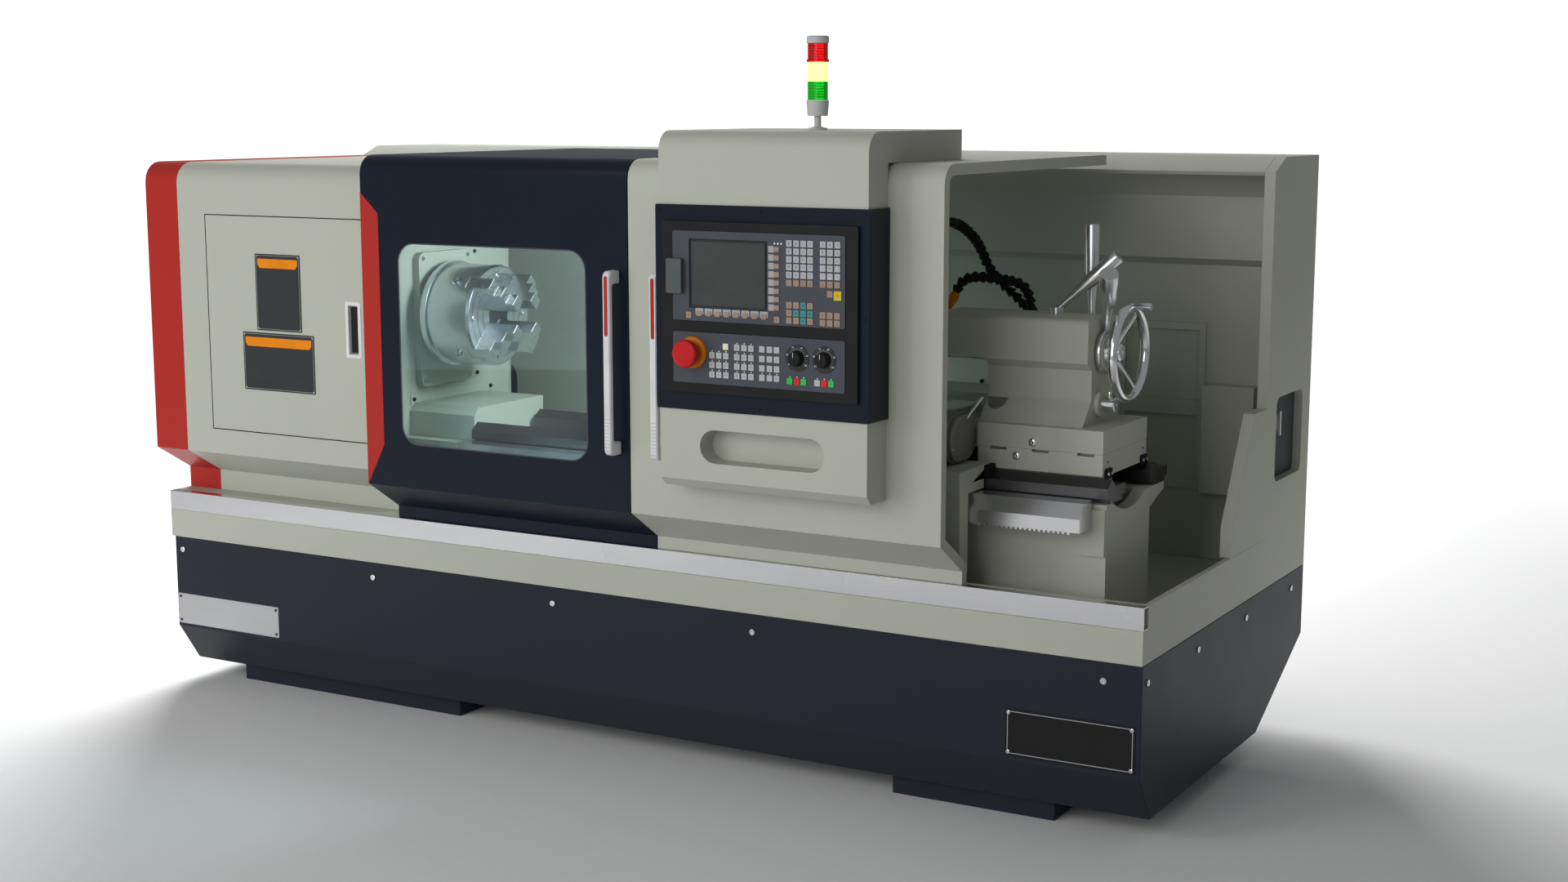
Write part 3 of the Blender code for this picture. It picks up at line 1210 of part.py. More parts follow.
def left_door():
    """The navy sliding door with its window."""
    door = folded_pan("left_door", door_line(), DOOR_START, LEFT_DOOR_END, DOOR_FLANGE, "navy_paint",
        "left_door")
    hole = slab(
        "window_hole", [rounded(rectangle(
            WINDOW_START, WINDOW_BOTTOM, WINDOW_WIDTH, WINDOW_HEIGHT, WINDOW_RADIUS))],
        DOOR_FRONT - OVERRUN, DOOR_FRONT + OVERRUN, ALONG_Y, None, "left_door")
    cut(door, hole)
    back = DOOR_FRONT + SHEET + SEAT
    slab(
        "door_window", [rounded(rectangle(
            WINDOW_START - PANE_LAP, WINDOW_BOTTOM - PANE_LAP, WINDOW_WIDTH + 2 * PANE_LAP,
            WINDOW_HEIGHT + 2 * PANE_LAP, WINDOW_RADIUS + PANE_LAP))],
        back, back + PANE_THICKNESS, ALONG_Y, "window_glass", "left_door")
    door_handle("left_door_handle", LEFT_HANDLE_START, "left_door")


def right_door():
    """The cream sliding door that carries the control housing."""
    folded_pan("right_door", door_line(), RIGHT_DOOR_START, RIGHT_DOOR_END, DOOR_FLANGE, "cream_paint",
        "right_door")
    door_handle("right_door_handle", RIGHT_HANDLE_START, "right_door")


def door_handle(name, start, body):
    """An upright bow handle: a bar on two legs that taper out to the door."""
    seat = DOOR_FRONT - SEAT
    front = seat - HANDLE_REACH
    top = HANDLE_BOTTOM + HANDLE_LENGTH
    outline = rounded([
        (seat, HANDLE_BOTTOM), (front, HANDLE_BOTTOM, HANDLE_BAR), (front, top, HANDLE_BAR), (seat, top),
        (seat, top - HANDLE_LEG), (front + HANDLE_BAR, top - HANDLE_LEG, HANDLE_BAR / 2),
        (front + HANDLE_BAR, HANDLE_BOTTOM + HANDLE_LEG, HANDLE_BAR / 2),
        (seat, HANDLE_BOTTOM + HANDLE_LEG)],
        steps=3)
    handle = slab(name, [outline], start, start + HANDLE_WIDTH, ALONG_X, "silver_plastic", body)
    rounded_edges(handle, HANDLE_BAR / 5)


def control_housing():
    """The box that hooks over the right door's roof, with a finger recess under the panel."""
    arm_bottom = DOOR_TOP + SEAT
    arm_rear = DOOR_FRONT + HOUSING_ARM_DEPTH
    outline = rounded([
        (HOUSING_BACK, HOUSING_BOTTOM), (HOUSING_BACK, arm_bottom), (arm_rear, arm_bottom),
        (arm_rear, HOUSING_TOP),
        (HOUSING_FRONT, HOUSING_TOP, HOUSING_RADIUS), (HOUSING_FRONT, HOUSING_BOTTOM + HOUSING_CHAMFER),
        (HOUSING_FRONT + HOUSING_CHAMFER, HOUSING_BOTTOM)])
    housing = slab(
        "control_housing", [outline], HOUSING_START, HOUSING_START + HOUSING_WIDTH, ALONG_X,
        "cream_paint",
        "right_door")
    recess = slab(
        "finger_recess", [rounded(rectangle(
            HOUSING_MIDDLE - RECESS_WIDTH / 2, RECESS_CENTRE_HEIGHT - RECESS_HEIGHT / 2, RECESS_WIDTH,
            RECESS_HEIGHT,
            RECESS_HEIGHT / 2 - SEAT), steps=RECESS_STEPS)],
        HOUSING_FRONT - OVERRUN, HOUSING_FRONT + RECESS_DEPTH, ALONG_Y, None, "right_door")
    cut(housing, recess)


def panel_frames():
    """The navy surround and the black bezel that the two operating units sit in."""
    left = HOUSING_START - SURROUND_MARGIN
    width = HOUSING_WIDTH + 2 * SURROUND_MARGIN
    slab(
        "panel_surround", [rounded(rectangle(left, SURROUND_BOTTOM, width, SURROUND_HEIGHT,
            SURROUND_RADIUS), steps=3)],
        SURROUND_FRONT, HOUSING_FRONT - SEAT, ALONG_Y, "navy_paint", "right_door")
    bezel_left = HOUSING_MIDDLE - BEZEL_WIDTH / 2
    gap = RUNNING_GAP / 2
    holes = []
    for bottom, height in ((DISPLAY_BOTTOM, DISPLAY_HEIGHT), (PANEL_BOTTOM, PANEL_HEIGHT)):
        holes.append(rounded(rectangle(
            UNIT_LEFT - gap, bottom - gap, UNIT_WIDTH + 2 * gap, height + 2 * gap, UNIT_RADIUS), steps=2))
    outline = rounded(rectangle(bezel_left, BEZEL_BOTTOM, BEZEL_WIDTH, BEZEL_HEIGHT, UNIT_RADIUS),
        steps=2)
    slab(
        "panel_bezel", [outline, *holes], UNIT_BACK - BEZEL_THICKNESS, UNIT_BACK, ALONG_Y,
        "black_plastic",
        "right_door")


def key_span(x, z, width, height):
    """One key as a box over a unit's front face, sunk a little into it."""
    low = (x - width / 2, -KEY_RISE, z - height / 2)
    return (low, (x + width / 2, ROOT_SINK, z + height / 2))


def display_unit():
    """The display: a sunk screen, a row and a column of soft keys and the key fields."""
    plate = rounded(rectangle(UNIT_LEFT, DISPLAY_BOTTOM, UNIT_WIDTH, DISPLAY_HEIGHT, UNIT_RADIUS),
        steps=2)
    unit = slab("display_unit", [plate], UNIT_FRONT, UNIT_BACK, ALONG_Y, "gray_plastic", "right_door")
    left, top, right, bottom = SCREEN_SHARES
    screen_low, screen_high = display_spot((left, bottom)), display_spot((right, top))
    screen = block(
        "screen_recess", (UNIT_LEFT + screen_low[0], UNIT_FRONT - OVERRUN,
            DISPLAY_BOTTOM + screen_low[1]),
        (UNIT_LEFT + screen_high[0], UNIT_FRONT + SCREEN_RECESS, DISPLAY_BOTTOM + screen_high[1]), None,
        "right_door")
    spans = []
    for row in KEY_ROW_SHARES:
        for column in LETTER_COLUMN_SHARES + NUMBER_COLUMN_SHARES:
            spans.append(key_span(*display_spot((column, row)), KEY_WIDTH, KEY_HEIGHT))
    for row in CURSOR_ROW_SHARES:
        for column in LETTER_COLUMN_SHARES:
            spans.append(key_span(*display_spot((column, row)), KEY_WIDTH, KEY_HEIGHT))
    for row in CORNER_ROW_SHARES:
        for column in NUMBER_COLUMN_SHARES:
            spans.append(key_span(*display_spot((column, row)), KEY_WIDTH, KEY_HEIGHT))
    spans.append(key_span(*display_spot(EDIT_KEY_SHARES), KEY_WIDTH, KEY_HEIGHT))
    spans.append(key_span(*display_spot(SHIFT_KEY_SHARES), SHIFT_KEY_WIDTH, SHIFT_KEY_HEIGHT))
    for number in range(SOFT_ROW_KEYS):
        share = number / (SOFT_ROW_KEYS - 1)
        column = SOFT_ROW_FIRST_SHARE + (SOFT_ROW_LAST_SHARE - SOFT_ROW_FIRST_SHARE) * share
        row = SOFT_COLUMN_FIRST_SHARE + (SOFT_COLUMN_LAST_SHARE - SOFT_COLUMN_FIRST_SHARE) * share
        spans.append(key_span(*display_spot((column, SOFT_ROW_SHARE)), SOFT_KEY_WIDTH, SOFT_KEY_HEIGHT))
        spans.append(key_span(*display_spot((SOFT_COLUMN_SHARE, row)), SOFT_KEY_WIDTH, SOFT_KEY_HEIGHT))
    keys = boxes("display_keys", spans, (UNIT_LEFT, UNIT_FRONT, DISPLAY_BOTTOM), None, "right_door")
    cut(unit, screen)
    fuse(unit, keys)


def machine_panel():
    """The machine panel: key fields, two dials and the collar of the stop button."""
    plate = rounded(rectangle(UNIT_LEFT, PANEL_BOTTOM, UNIT_WIDTH, PANEL_HEIGHT, UNIT_RADIUS), steps=2)
    panel = slab("machine_panel", [plate], UNIT_FRONT, UNIT_BACK, ALONG_Y, "gray_plastic", "right_door")
    spots = [(column, row) for column in MODE_COLUMN_SHARES for row in MODE_ROW_SHARES]
    tall_columns = TOOL_COLUMN_SHARES + AXIS_COLUMN_SHARES
    spots += [(column, row) for column in tall_columns for row in TALL_ROW_SHARES]
    spots += [(column, START_ROW_SHARE) for column in FEED_KEY_SHARES + SPEED_KEY_SHARES]
    spots.append(SINGLE_KEY_SHARES)
    spans = []
    for spot in spots:
        x, _, z = panel_spot(spot)
        spans.append(key_span(x, z, KEY_WIDTH, KEY_HEIGHT))
    fuse(panel, boxes("panel_keys", spans, (0, UNIT_FRONT, 0), None, "right_door"))
    for name, shares in (("feed_dial", FEED_DIAL_SHARES), ("speed_dial", SPEED_DIAL_SHARES)):
        dial = drum(
            name, DIAL_RADIUS, -ROOT_SINK, DIAL_THICKNESS, STACK_STEPS, panel_spot(shares), AXIS_FORWARD,
            None,
            "right_door")
        hole = drum(
            name + "_hole", KNOB_SHAFT_RADIUS + SEAT, -KNOB_SHAFT_LENGTH - SEAT, OVERRUN, SMALL_STEPS,
            panel_spot(shares), AXIS_FORWARD, None, "right_door")
        fuse(panel, dial)
        cut(panel, hole)
    collar = [
        (0, COLLAR_HEIGHT), (COLLAR_RADIUS - COLLAR_HEIGHT / 2, COLLAR_HEIGHT),
        (COLLAR_RADIUS, COLLAR_HEIGHT / 2),
        (COLLAR_RADIUS, -ROOT_SINK), (0, -ROOT_SINK)]
    fuse(panel, turned(
        "estop_collar", collar, STACK_STEPS, panel_spot(ESTOP_SHARES), AXIS_FORWARD, None, "right_door"))
    cut(panel, drum(
        "estop_bore", ESTOP_STEM_RADIUS + SEAT, -ESTOP_TRAVEL - ROOT_SINK, OVERRUN, STACK_STEPS,
        panel_spot(ESTOP_SHARES), AXIS_FORWARD, None, "right_door"))


def estop_button():
    """The mushroom stop button, pressed towards the panel."""
    neck = COLLAR_HEIGHT + ESTOP_TRAVEL + RUNNING_GAP
    stem_foot = COLLAR_HEIGHT - ESTOP_STEM_SINK
    crown = ESTOP_TOP
    profile = [
        (0, crown), (ESTOP_CAP_RADIUS * 2 / 3, crown - ESTOP_CAP_HEIGHT / 12),
        (ESTOP_CAP_RADIUS * 14 / 15, crown - ESTOP_CAP_HEIGHT / 3),
        (ESTOP_CAP_RADIUS, crown - ESTOP_CAP_HEIGHT / 2),
        (ESTOP_CAP_RADIUS * 14 / 15, crown - ESTOP_CAP_HEIGHT * 4 / 5),
        (ESTOP_STEM_RADIUS, neck + ESTOP_STEM_LENGTH / 3), (ESTOP_STEM_RADIUS, stem_foot), (0, stem_foot)]
    turned("estop_button", profile, STACK_STEPS, panel_spot(ESTOP_SHARES), AXIS_FORWARD, "estop_red",
        "estop")


def override_knob(name, shares, body):
    """A turning knob with a grip bar across it."""
    base = DIAL_THICKNESS + SEAT
    top = base + KNOB_HEIGHT - KNOB_GRIP_HEIGHT
    profile = [
        (0, top), (KNOB_RADIUS * 9 / 10, top), (KNOB_RADIUS, top - KNOB_GRIP_HEIGHT / 4),
        (KNOB_RADIUS, base),
        (KNOB_SHAFT_RADIUS, base), (KNOB_SHAFT_RADIUS, base - KNOB_SHAFT_LENGTH),
        (0, base - KNOB_SHAFT_LENGTH)]
    knob = turned(name, profile, KNOB_STEPS, panel_spot(shares), AXIS_FORWARD, "black_plastic", body)
    x, y, z = panel_spot(shares)
    half = KNOB_GRIP_WIDTH / 2
    reach = KNOB_RADIUS * 9 / 10
    grip = block(
        name + "_grip", (x - half, y - base - KNOB_HEIGHT, z - reach),
        (x + half, y - top + ROOT_SINK, z + reach),
        None, body)
    fuse(knob, grip)


def usb_cover():
    """The hinged flap over the socket beside the screen."""
    x = UNIT_LEFT + USB_COVER_LEFT_SHARE * UNIT_WIDTH
    z = DISPLAY_BOTTOM + (1 - USB_COVER_BOTTOM_SHARE) * DISPLAY_HEIGHT
    outline = rounded(rectangle(x, z, USB_COVER_WIDTH, USB_COVER_HEIGHT, UNIT_RADIUS), steps=3)
    cover = slab(
        "usb_cover", [outline], UNIT_FRONT - SEAT - USB_COVER_THICKNESS, UNIT_FRONT - SEAT, ALONG_Y,
        "light_gray_plastic", "usb_cover", (x, z))
    rounded_edges(cover, USB_COVER_THICKNESS / 6, 2)


def stack_light():
    """The signal tower: foot and pole, base cup, three lenses and a cap."""
    place = (HOUSING_MIDDLE, STACK_Y, STACK_BOTTOM)
    cup = POLE_HEIGHT
    base_top = cup + STACK_BASE_HEIGHT
    base = [
        (0, base_top), (STACK_BASE_RADIUS, base_top), (STACK_BASE_RADIUS, base_top - LENS_RING_HEIGHT),
        (STACK_BASE_NECK, cup), (POLE_RADIUS, cup), (POLE_RADIUS, STACK_FOOT_HEIGHT * 2),
        (STACK_FOOT_RADIUS, STACK_FOOT_HEIGHT), (STACK_FOOT_RADIUS, 0), (0, 0)]
    turned("stack_base", base, STACK_STEPS, place, (0, 0, 0), "light_gray_plastic", "right_door")
    bottom = base_top + SEAT
    for name in ("stack_green_lens", "stack_amber_lens", "stack_red_lens"):
        top = bottom + LENS_HEIGHT
        profile = [
            (0, top), (LENS_RADIUS, top), (LENS_RADIUS, bottom + LENS_RING_HEIGHT),
            (LENS_RING_RADIUS, bottom + LENS_RING_HEIGHT), (LENS_RING_RADIUS, bottom), (0, bottom)]
        if name == "stack_green_lens":
            profile = [(0, top), (LENS_RADIUS, top), (LENS_RADIUS, bottom), (0, bottom)]
        paint = name.replace("stack_", "").replace("_lens", "")
        turned(name, profile, STACK_STEPS, place, (0, 0, 0), "lens_" + paint, "right_door")
        bottom = top + SEAT
    cap = [
        (0, bottom + CAP_HEIGHT), (STACK_BASE_RADIUS - SHEET, bottom + CAP_HEIGHT),
        (STACK_BASE_RADIUS, bottom + CAP_HEIGHT - SHEET), (STACK_BASE_RADIUS, bottom), (0, bottom)]
    turned("stack_cap", cap, STACK_STEPS, place, (0, 0, 0), "light_gray_plastic", "right_door")


def spindle_line():
    """Spindle with its pulley and nose flange, the chuck's backplate and body."""
    place = (0, SPINDLE_DEPTH, SPINDLE_HEIGHT)
    pulley_end = PULLEY_START + PULLEY_WIDTH
    rim = SPINDLE_PULLEY_RADIUS
    lip = rim + PULLEY_LIP
    groove_start = PULLEY_START + (PULLEY_WIDTH - BELT_WIDTH) / 2 - SEAT
    groove_end = groove_start + BELT_WIDTH + 2 * SEAT
    flange_end = FLANGE_START + FLANGE_THICKNESS
    spindle = [
        (SPINDLE_BORE_RADIUS, flange_end), (FLANGE_RADIUS, flange_end), (FLANGE_RADIUS, FLANGE_START),
        (SPINDLE_RADIUS, FLANGE_START), (SPINDLE_RADIUS, pulley_end), (lip, pulley_end),
        (lip, groove_end),
        (rim, groove_end), (rim, groove_start), (lip, groove_start), (lip, PULLEY_START),
        (SPINDLE_RADIUS, PULLEY_START), (SPINDLE_RADIUS, SPINDLE_START),
        (SPINDLE_BORE_RADIUS, SPINDLE_START)]
    turned("spindle", spindle, STACK_STEPS, place, AXIS_RIGHT, "satin_steel", "spindle", ring=True)
    plate_end = BACKPLATE_START + BACKPLATE_THICKNESS
    plate = [
        (CHUCK_BORE_RADIUS, plate_end), (BACKPLATE_RADIUS, plate_end),
        (BACKPLATE_RADIUS, BACKPLATE_START),
        (CHUCK_BORE_RADIUS, BACKPLATE_START)]
    turned("chuck_backplate", plate, ROUND_STEPS, place, AXIS_RIGHT, "satin_steel", "spindle", ring=True)
    body = [
        (CHUCK_BORE_RADIUS, CHUCK_FACE), (CHUCK_RADIUS - CHUCK_CHAMFER, CHUCK_FACE),
        (CHUCK_RADIUS, CHUCK_FACE - CHUCK_CHAMFER), (CHUCK_RADIUS, CHUCK_START),
        (CHUCK_BORE_RADIUS, CHUCK_START)]
    chuck = turned("chuck_body", body, ROUND_STEPS, place, AXIS_RIGHT, "satin_steel", "spindle",
        ring=True)
    half = JAW_WIDTH / 2 + SEAT
    reach = CHUCK_RADIUS + OVERRUN
    for number in range(JAW_COUNT // 2):
        slot = block(
            "jaw_slot_" + str(number), (CHUCK_FACE - JAW_SLOT_DEPTH, SPINDLE_DEPTH - half,
                SPINDLE_HEIGHT - reach),
            (CHUCK_FACE + OVERRUN, SPINDLE_DEPTH + half, SPINDLE_HEIGHT + reach), None, "spindle")
        slot.rotation_euler = (jaw_turn(number), 0, 0)
        cut(chuck, slot)


def jaw_turn(number):
    """The angle of a chuck jaw about the spindle, from straight up."""
    return math.pi / JAW_COUNT + 2 * math.pi * number / JAW_COUNT


def chuck_jaws():
    """Four stepped jaws in the chuck's slots."""
    floor = CHUCK_FACE - JAW_SLOT_DEPTH + SEAT
    steps = [(JAW_INNER, floor)]
    reach = JAW_INNER
    for length, height in zip(JAW_STEP_LENGTHS, JAW_STEP_HEIGHTS):
        steps += [(reach, CHUCK_FACE + height), (reach + length, CHUCK_FACE + height)]
        reach += length
    steps.append((reach, floor))
    outline = [(x - CHUCK_FACE, z) for z, x in steps]
    for number in range(JAW_COUNT):
        name = "jaw_" + str(number + 1)
        mesh = flat_mesh(name, [outline], JAW_WIDTH)
        jaw = put("chuck_" + name, mesh, (CHUCK_FACE, SPINDLE_DEPTH, SPINDLE_HEIGHT), (0, 0, 0),
            "satin_steel", name)
        jaw.rotation_euler = (math.pi / 2 + jaw_turn(number), 0, 0)
        rounded_edges(jaw, SHEET / 2)


def main_motor():
    """The motor behind the headstock, on a foot that stands on the platform."""
    end = MAIN_MOTOR_START + MAIN_MOTOR_LENGTH
    half = MAIN_MOTOR_WIDTH / 2
    section = rounded(rectangle(
        MAIN_MOTOR_DEPTH - half, MAIN_MOTOR_HEIGHT - half, MAIN_MOTOR_WIDTH, MAIN_MOTOR_WIDTH,
        MAIN_MOTOR_CORNER), steps=4)
    motor = slab("main_motor", [section], MAIN_MOTOR_START, end, ALONG_X, "cabinet_paint", "machine")
    foot = block(
        "motor_foot", (MAIN_MOTOR_START + OVERRUN, MAIN_MOTOR_DEPTH - MAIN_MOTOR_FOOT / 2, DECK),
        (end - OVERRUN, MAIN_MOTOR_DEPTH + MAIN_MOTOR_FOOT / 2, MAIN_MOTOR_HEIGHT - half + OVERRUN), None,
        "machine")
    fuse(motor, foot)
    bore = drum(
        "motor_bore", SHAFT_RADIUS + SEAT, MAIN_MOTOR_START - OVERRUN,
        MAIN_MOTOR_START + MAIN_MOTOR_LENGTH / 3,
        STACK_STEPS, (0, MAIN_MOTOR_DEPTH, MAIN_MOTOR_HEIGHT), AXIS_RIGHT, None, "machine")
    cut(motor, bore)


def motor_pulley():
    """The small pulley on the motor's shaft."""
    end = PULLEY_START + PULLEY_WIDTH
    rim, lip = MOTOR_PULLEY_RADIUS, MOTOR_PULLEY_RADIUS + PULLEY_LIP
    groove_start = PULLEY_START + (PULLEY_WIDTH - BELT_WIDTH) / 2 - SEAT
    groove_end = groove_start + BELT_WIDTH + 2 * SEAT
    shaft_end = MAIN_MOTOR_START + MAIN_MOTOR_LENGTH / 3 - SEAT
    profile = [
        (0, shaft_end), (SHAFT_RADIUS, shaft_end), (SHAFT_RADIUS, end), (lip, end), (lip, groove_end),
        (rim, groove_end), (rim, groove_start), (lip, groove_start), (lip, PULLEY_START),
        (0, PULLEY_START)]
    profile = [(radius, height - PULLEY_START) for radius, height in profile]
    turned(
        "motor_pulley", profile, STACK_STEPS, (PULLEY_START, MAIN_MOTOR_DEPTH, MAIN_MOTOR_HEIGHT),
        AXIS_RIGHT, "satin_steel",
        "motor_rotor")


def belt_line(extra):
    """The line round both pulleys at a distance from their rims, as tangent arcs."""
    across = Vector((MAIN_MOTOR_DEPTH - SPINDLE_DEPTH, MAIN_MOTOR_HEIGHT - SPINDLE_HEIGHT))
    heading = math.atan2(across.y, across.x)
    lean = math.acos((SPINDLE_PULLEY_RADIUS - MOTOR_PULLEY_RADIUS) / across.length)
    points = []
    for centre, radius, first, last in (
            ((SPINDLE_DEPTH, SPINDLE_HEIGHT), SPINDLE_PULLEY_RADIUS, heading + lean,
                heading + 2 * math.pi - lean),
            ((MAIN_MOTOR_DEPTH, MAIN_MOTOR_HEIGHT), MOTOR_PULLEY_RADIUS, heading - lean, heading + lean)):
        for step in range(ROUND_STEPS // 2 + 1):
            turn = first + (last - first) * step / (ROUND_STEPS // 2)
            spread = (radius + extra) / math.cos(math.pi / ROUND_STEPS)
            points.append((centre[0] + spread * math.cos(turn), centre[1] + spread * math.sin(turn)))
    return points


def drive_belt():
    """The belt from the motor to the spindle."""
    start = PULLEY_START + (PULLEY_WIDTH - BELT_WIDTH) / 2
    slab(
        "drive_belt", [belt_line(SEAT + BELT_THICKNESS), belt_line(SEAT)], start, start + BELT_WIDTH,
        ALONG_X,
        "rubber", "machine")


def z_drive():
    """The ball screw behind the bed and the servo motor at its left end."""
    place = (0, SCREW_Y, SCREW_Z)
    screw = [(0, SCREW_END), (SCREW_RADIUS, SCREW_END), (SCREW_RADIUS, SCREW_START), (0, SCREW_START)]
    screw = [(radius, height - SCREW_START) for radius, height in screw]
    turned("z_ball_screw", screw, SMALL_STEPS, (SCREW_START, SCREW_Y, SCREW_Z), AXIS_RIGHT, "satin_steel",
        "z_screw")
    half = SERVO_WIDTH / 2
    end = SCREW_START - SEAT
    section = rounded(rectangle(SCREW_Y - half, SCREW_Z - half, SERVO_WIDTH, SERVO_WIDTH, half / 3),
        steps=2)
    slab("z_servo_motor", [section], end - SERVO_LENGTH, end, ALONG_X, "rubber", "machine")


def saddle():
    """The carriage: front and rear wings on the ways, a web between them, apron and nut."""
    top = SADDLE_SEAT + WING_THICKNESS
    front_wing = slab(
        "saddle", [[
            (SADDLE_FRONT, SADDLE_BOTTOM), (BED_FRONT - SEAT, SADDLE_BOTTOM),
            (BED_FRONT - SEAT, SADDLE_SEAT),
            (FRONT_WING_REAR, SADDLE_SEAT), (FRONT_WING_REAR, top), (SADDLE_FRONT, top)]],
        SADDLE_START, SADDLE_END, ALONG_X, "cream_paint", "carriage")
    flat_front = WAY_FRONT + WAY_SPACING + WAY_VALLEY
    flat_rear = WAY_FRONT + WAY_SPACING + WAY_WIDTH
    hook_bottom = WAY_SEAT + SEAT
    rear_wing = slab(
        "rear_wing", [[
            (REAR_WING_FRONT, SADDLE_SEAT), (flat_front + ROOT_SINK, SADDLE_SEAT),
            (flat_front + ROOT_SINK, WAY_FLAT + SEAT), (flat_rear + ROOT_SINK, WAY_FLAT + SEAT),
            (flat_rear + ROOT_SINK, hook_bottom), (REAR_WING_REAR, hook_bottom), (REAR_WING_REAR, top),
            (REAR_WING_FRONT, top)]],
        SADDLE_START, SADDLE_END, ALONG_X, None, "carriage")
    web = block(
        "saddle_web", (WEB_START, SADDLE_FRONT + SHEET, SADDLE_SEAT), (WEB_END, REAR_WING_REAR, WEB_TOP), None,
        "carriage")
    apron = block(
        "apron", (APRON_START, SADDLE_FRONT + SHEET, APRON_BOTTOM),
        (SADDLE_END, RACK_BEAM_FRONT - APRON_RACK_GAP, SADDLE_BOTTOM + ROOT_SINK), None, "carriage")
    drive_box = block(
        "drive_box", (DRIVE_BOX_START, REAR_WING_REAR - OVERRUN, SADDLE_SEAT),
        (DRIVE_BOX_END, REAR_WING_REAR + DRIVE_BOX_DEPTH, DRIVE_BOX_TOP), None, "carriage")
    nut = block(
        "nut_bracket", (NUT_START, SCREW_Y - NUT_DEPTH / 2, NUT_BOTTOM),
        (NUT_START + NUT_LENGTH, SCREW_Y + NUT_DEPTH / 2, hook_bottom + ROOT_SINK), None, "carriage")
    fuse(front_wing, web, rear_wing, apron, drive_box, nut)
    bore = drum(
        "nut_bore", SCREW_BLOCK_BORE, NUT_START - OVERRUN, NUT_START + NUT_LENGTH + OVERRUN, SMALL_STEPS,
        (0, SCREW_Y, SCREW_Z), AXIS_RIGHT, None, "carriage")
    half = DOVETAIL_WIDTH / 2
    middle = (SLIDE_START + SLIDE_END) / 2
    groove = slab(
        "dovetail_groove", [[
            (middle - half - DOVETAIL_LEAN, WEB_TOP - DOVETAIL_HEIGHT),
            (middle + half + DOVETAIL_LEAN, WEB_TOP - DOVETAIL_HEIGHT),
            (middle + half, WEB_TOP + SEAT), (middle - half, WEB_TOP + SEAT)]],
        SADDLE_FRONT - OVERRUN, REAR_WING_REAR - OVERRUN * 2, ALONG_Y, None, "carriage")
    cut(front_wing, bore, groove)


def cross_slide():
    """The cross slide on its dovetail, with the fixed base of the turret on top."""
    rear = SLIDE_FRONT + SLIDE_DEPTH
    slide = slab(
        "cross_slide", [rounded(rectangle(
            SLIDE_START, SLIDE_FRONT, SLIDE_END - SLIDE_START, SLIDE_DEPTH, SHEET * 2), steps=2)],
        SLIDE_BOTTOM, SLIDE_TOP, ALONG_Z, "satin_steel", "cross_slide")
    middle = (SLIDE_START + SLIDE_END) / 2
    half = DOVETAIL_WIDTH / 2 - RUNNING_GAP
    neck = half - DOVETAIL_LEAN * ROOT_SINK / DOVETAIL_HEIGHT
    foot = half + DOVETAIL_LEAN
    tongue = slab(
        "dovetail_tongue", [[
            (middle - foot, WEB_TOP - DOVETAIL_HEIGHT + SEAT),
            (middle + foot, WEB_TOP - DOVETAIL_HEIGHT + SEAT),
            (middle + neck, SLIDE_BOTTOM + ROOT_SINK), (middle - neck, SLIDE_BOTTOM + ROOT_SINK)]],
        SLIDE_FRONT + SHEET, rear - SHEET, ALONG_Y, None, "cross_slide")
    base = TURRET_BASE_WIDTH / 2
    stand = block(
        "turret_stand", (TURRET_X - base, TURRET_Y - base, SLIDE_TOP - ROOT_SINK),
        (TURRET_X + base, TURRET_Y + base, TURRET_BOTTOM - SEAT), None, "cross_slide")
    fuse(slide, tongue, stand)


def turret_motor():
    """The turret's motor at the cross slide's right side, behind a round-cornered cover."""
    start = SLIDE_END + SEAT
    face = MOTOR_END - MOTOR_COVER_THICKNESS
    body = slab(
        "turret_motor", [rounded(rectangle(
            MOTOR_FRONT, MOTOR_BOTTOM, MOTOR_WIDTH, MOTOR_HEIGHT, MOTOR_CORNER))],
        start + WEB_END - SLIDE_END + RUNNING_GAP, face, ALONG_X, "dark_iron", "cross_slide")
    neck_bottom = WEB_TOP + RUNNING_GAP
    neck = block(
        "motor_neck", (start, MOTOR_FRONT + MOTOR_CORNER, neck_bottom),
        (face - OVERRUN, MOTOR_FRONT + MOTOR_WIDTH - MOTOR_COVER_RIM, SLIDE_TOP), None, "cross_slide")
    rim = MOTOR_COVER_RIM
    cover = slab(
        "motor_cover", [rounded(rectangle(
            MOTOR_FRONT + rim, MOTOR_BOTTOM + rim, MOTOR_WIDTH - 2 * rim, MOTOR_HEIGHT - 2 * rim,
            MOTOR_CORNER - rim))], face - ROOT_SINK, MOTOR_END, ALONG_X, None, "cross_slide")
    fuse(body, neck, cover)


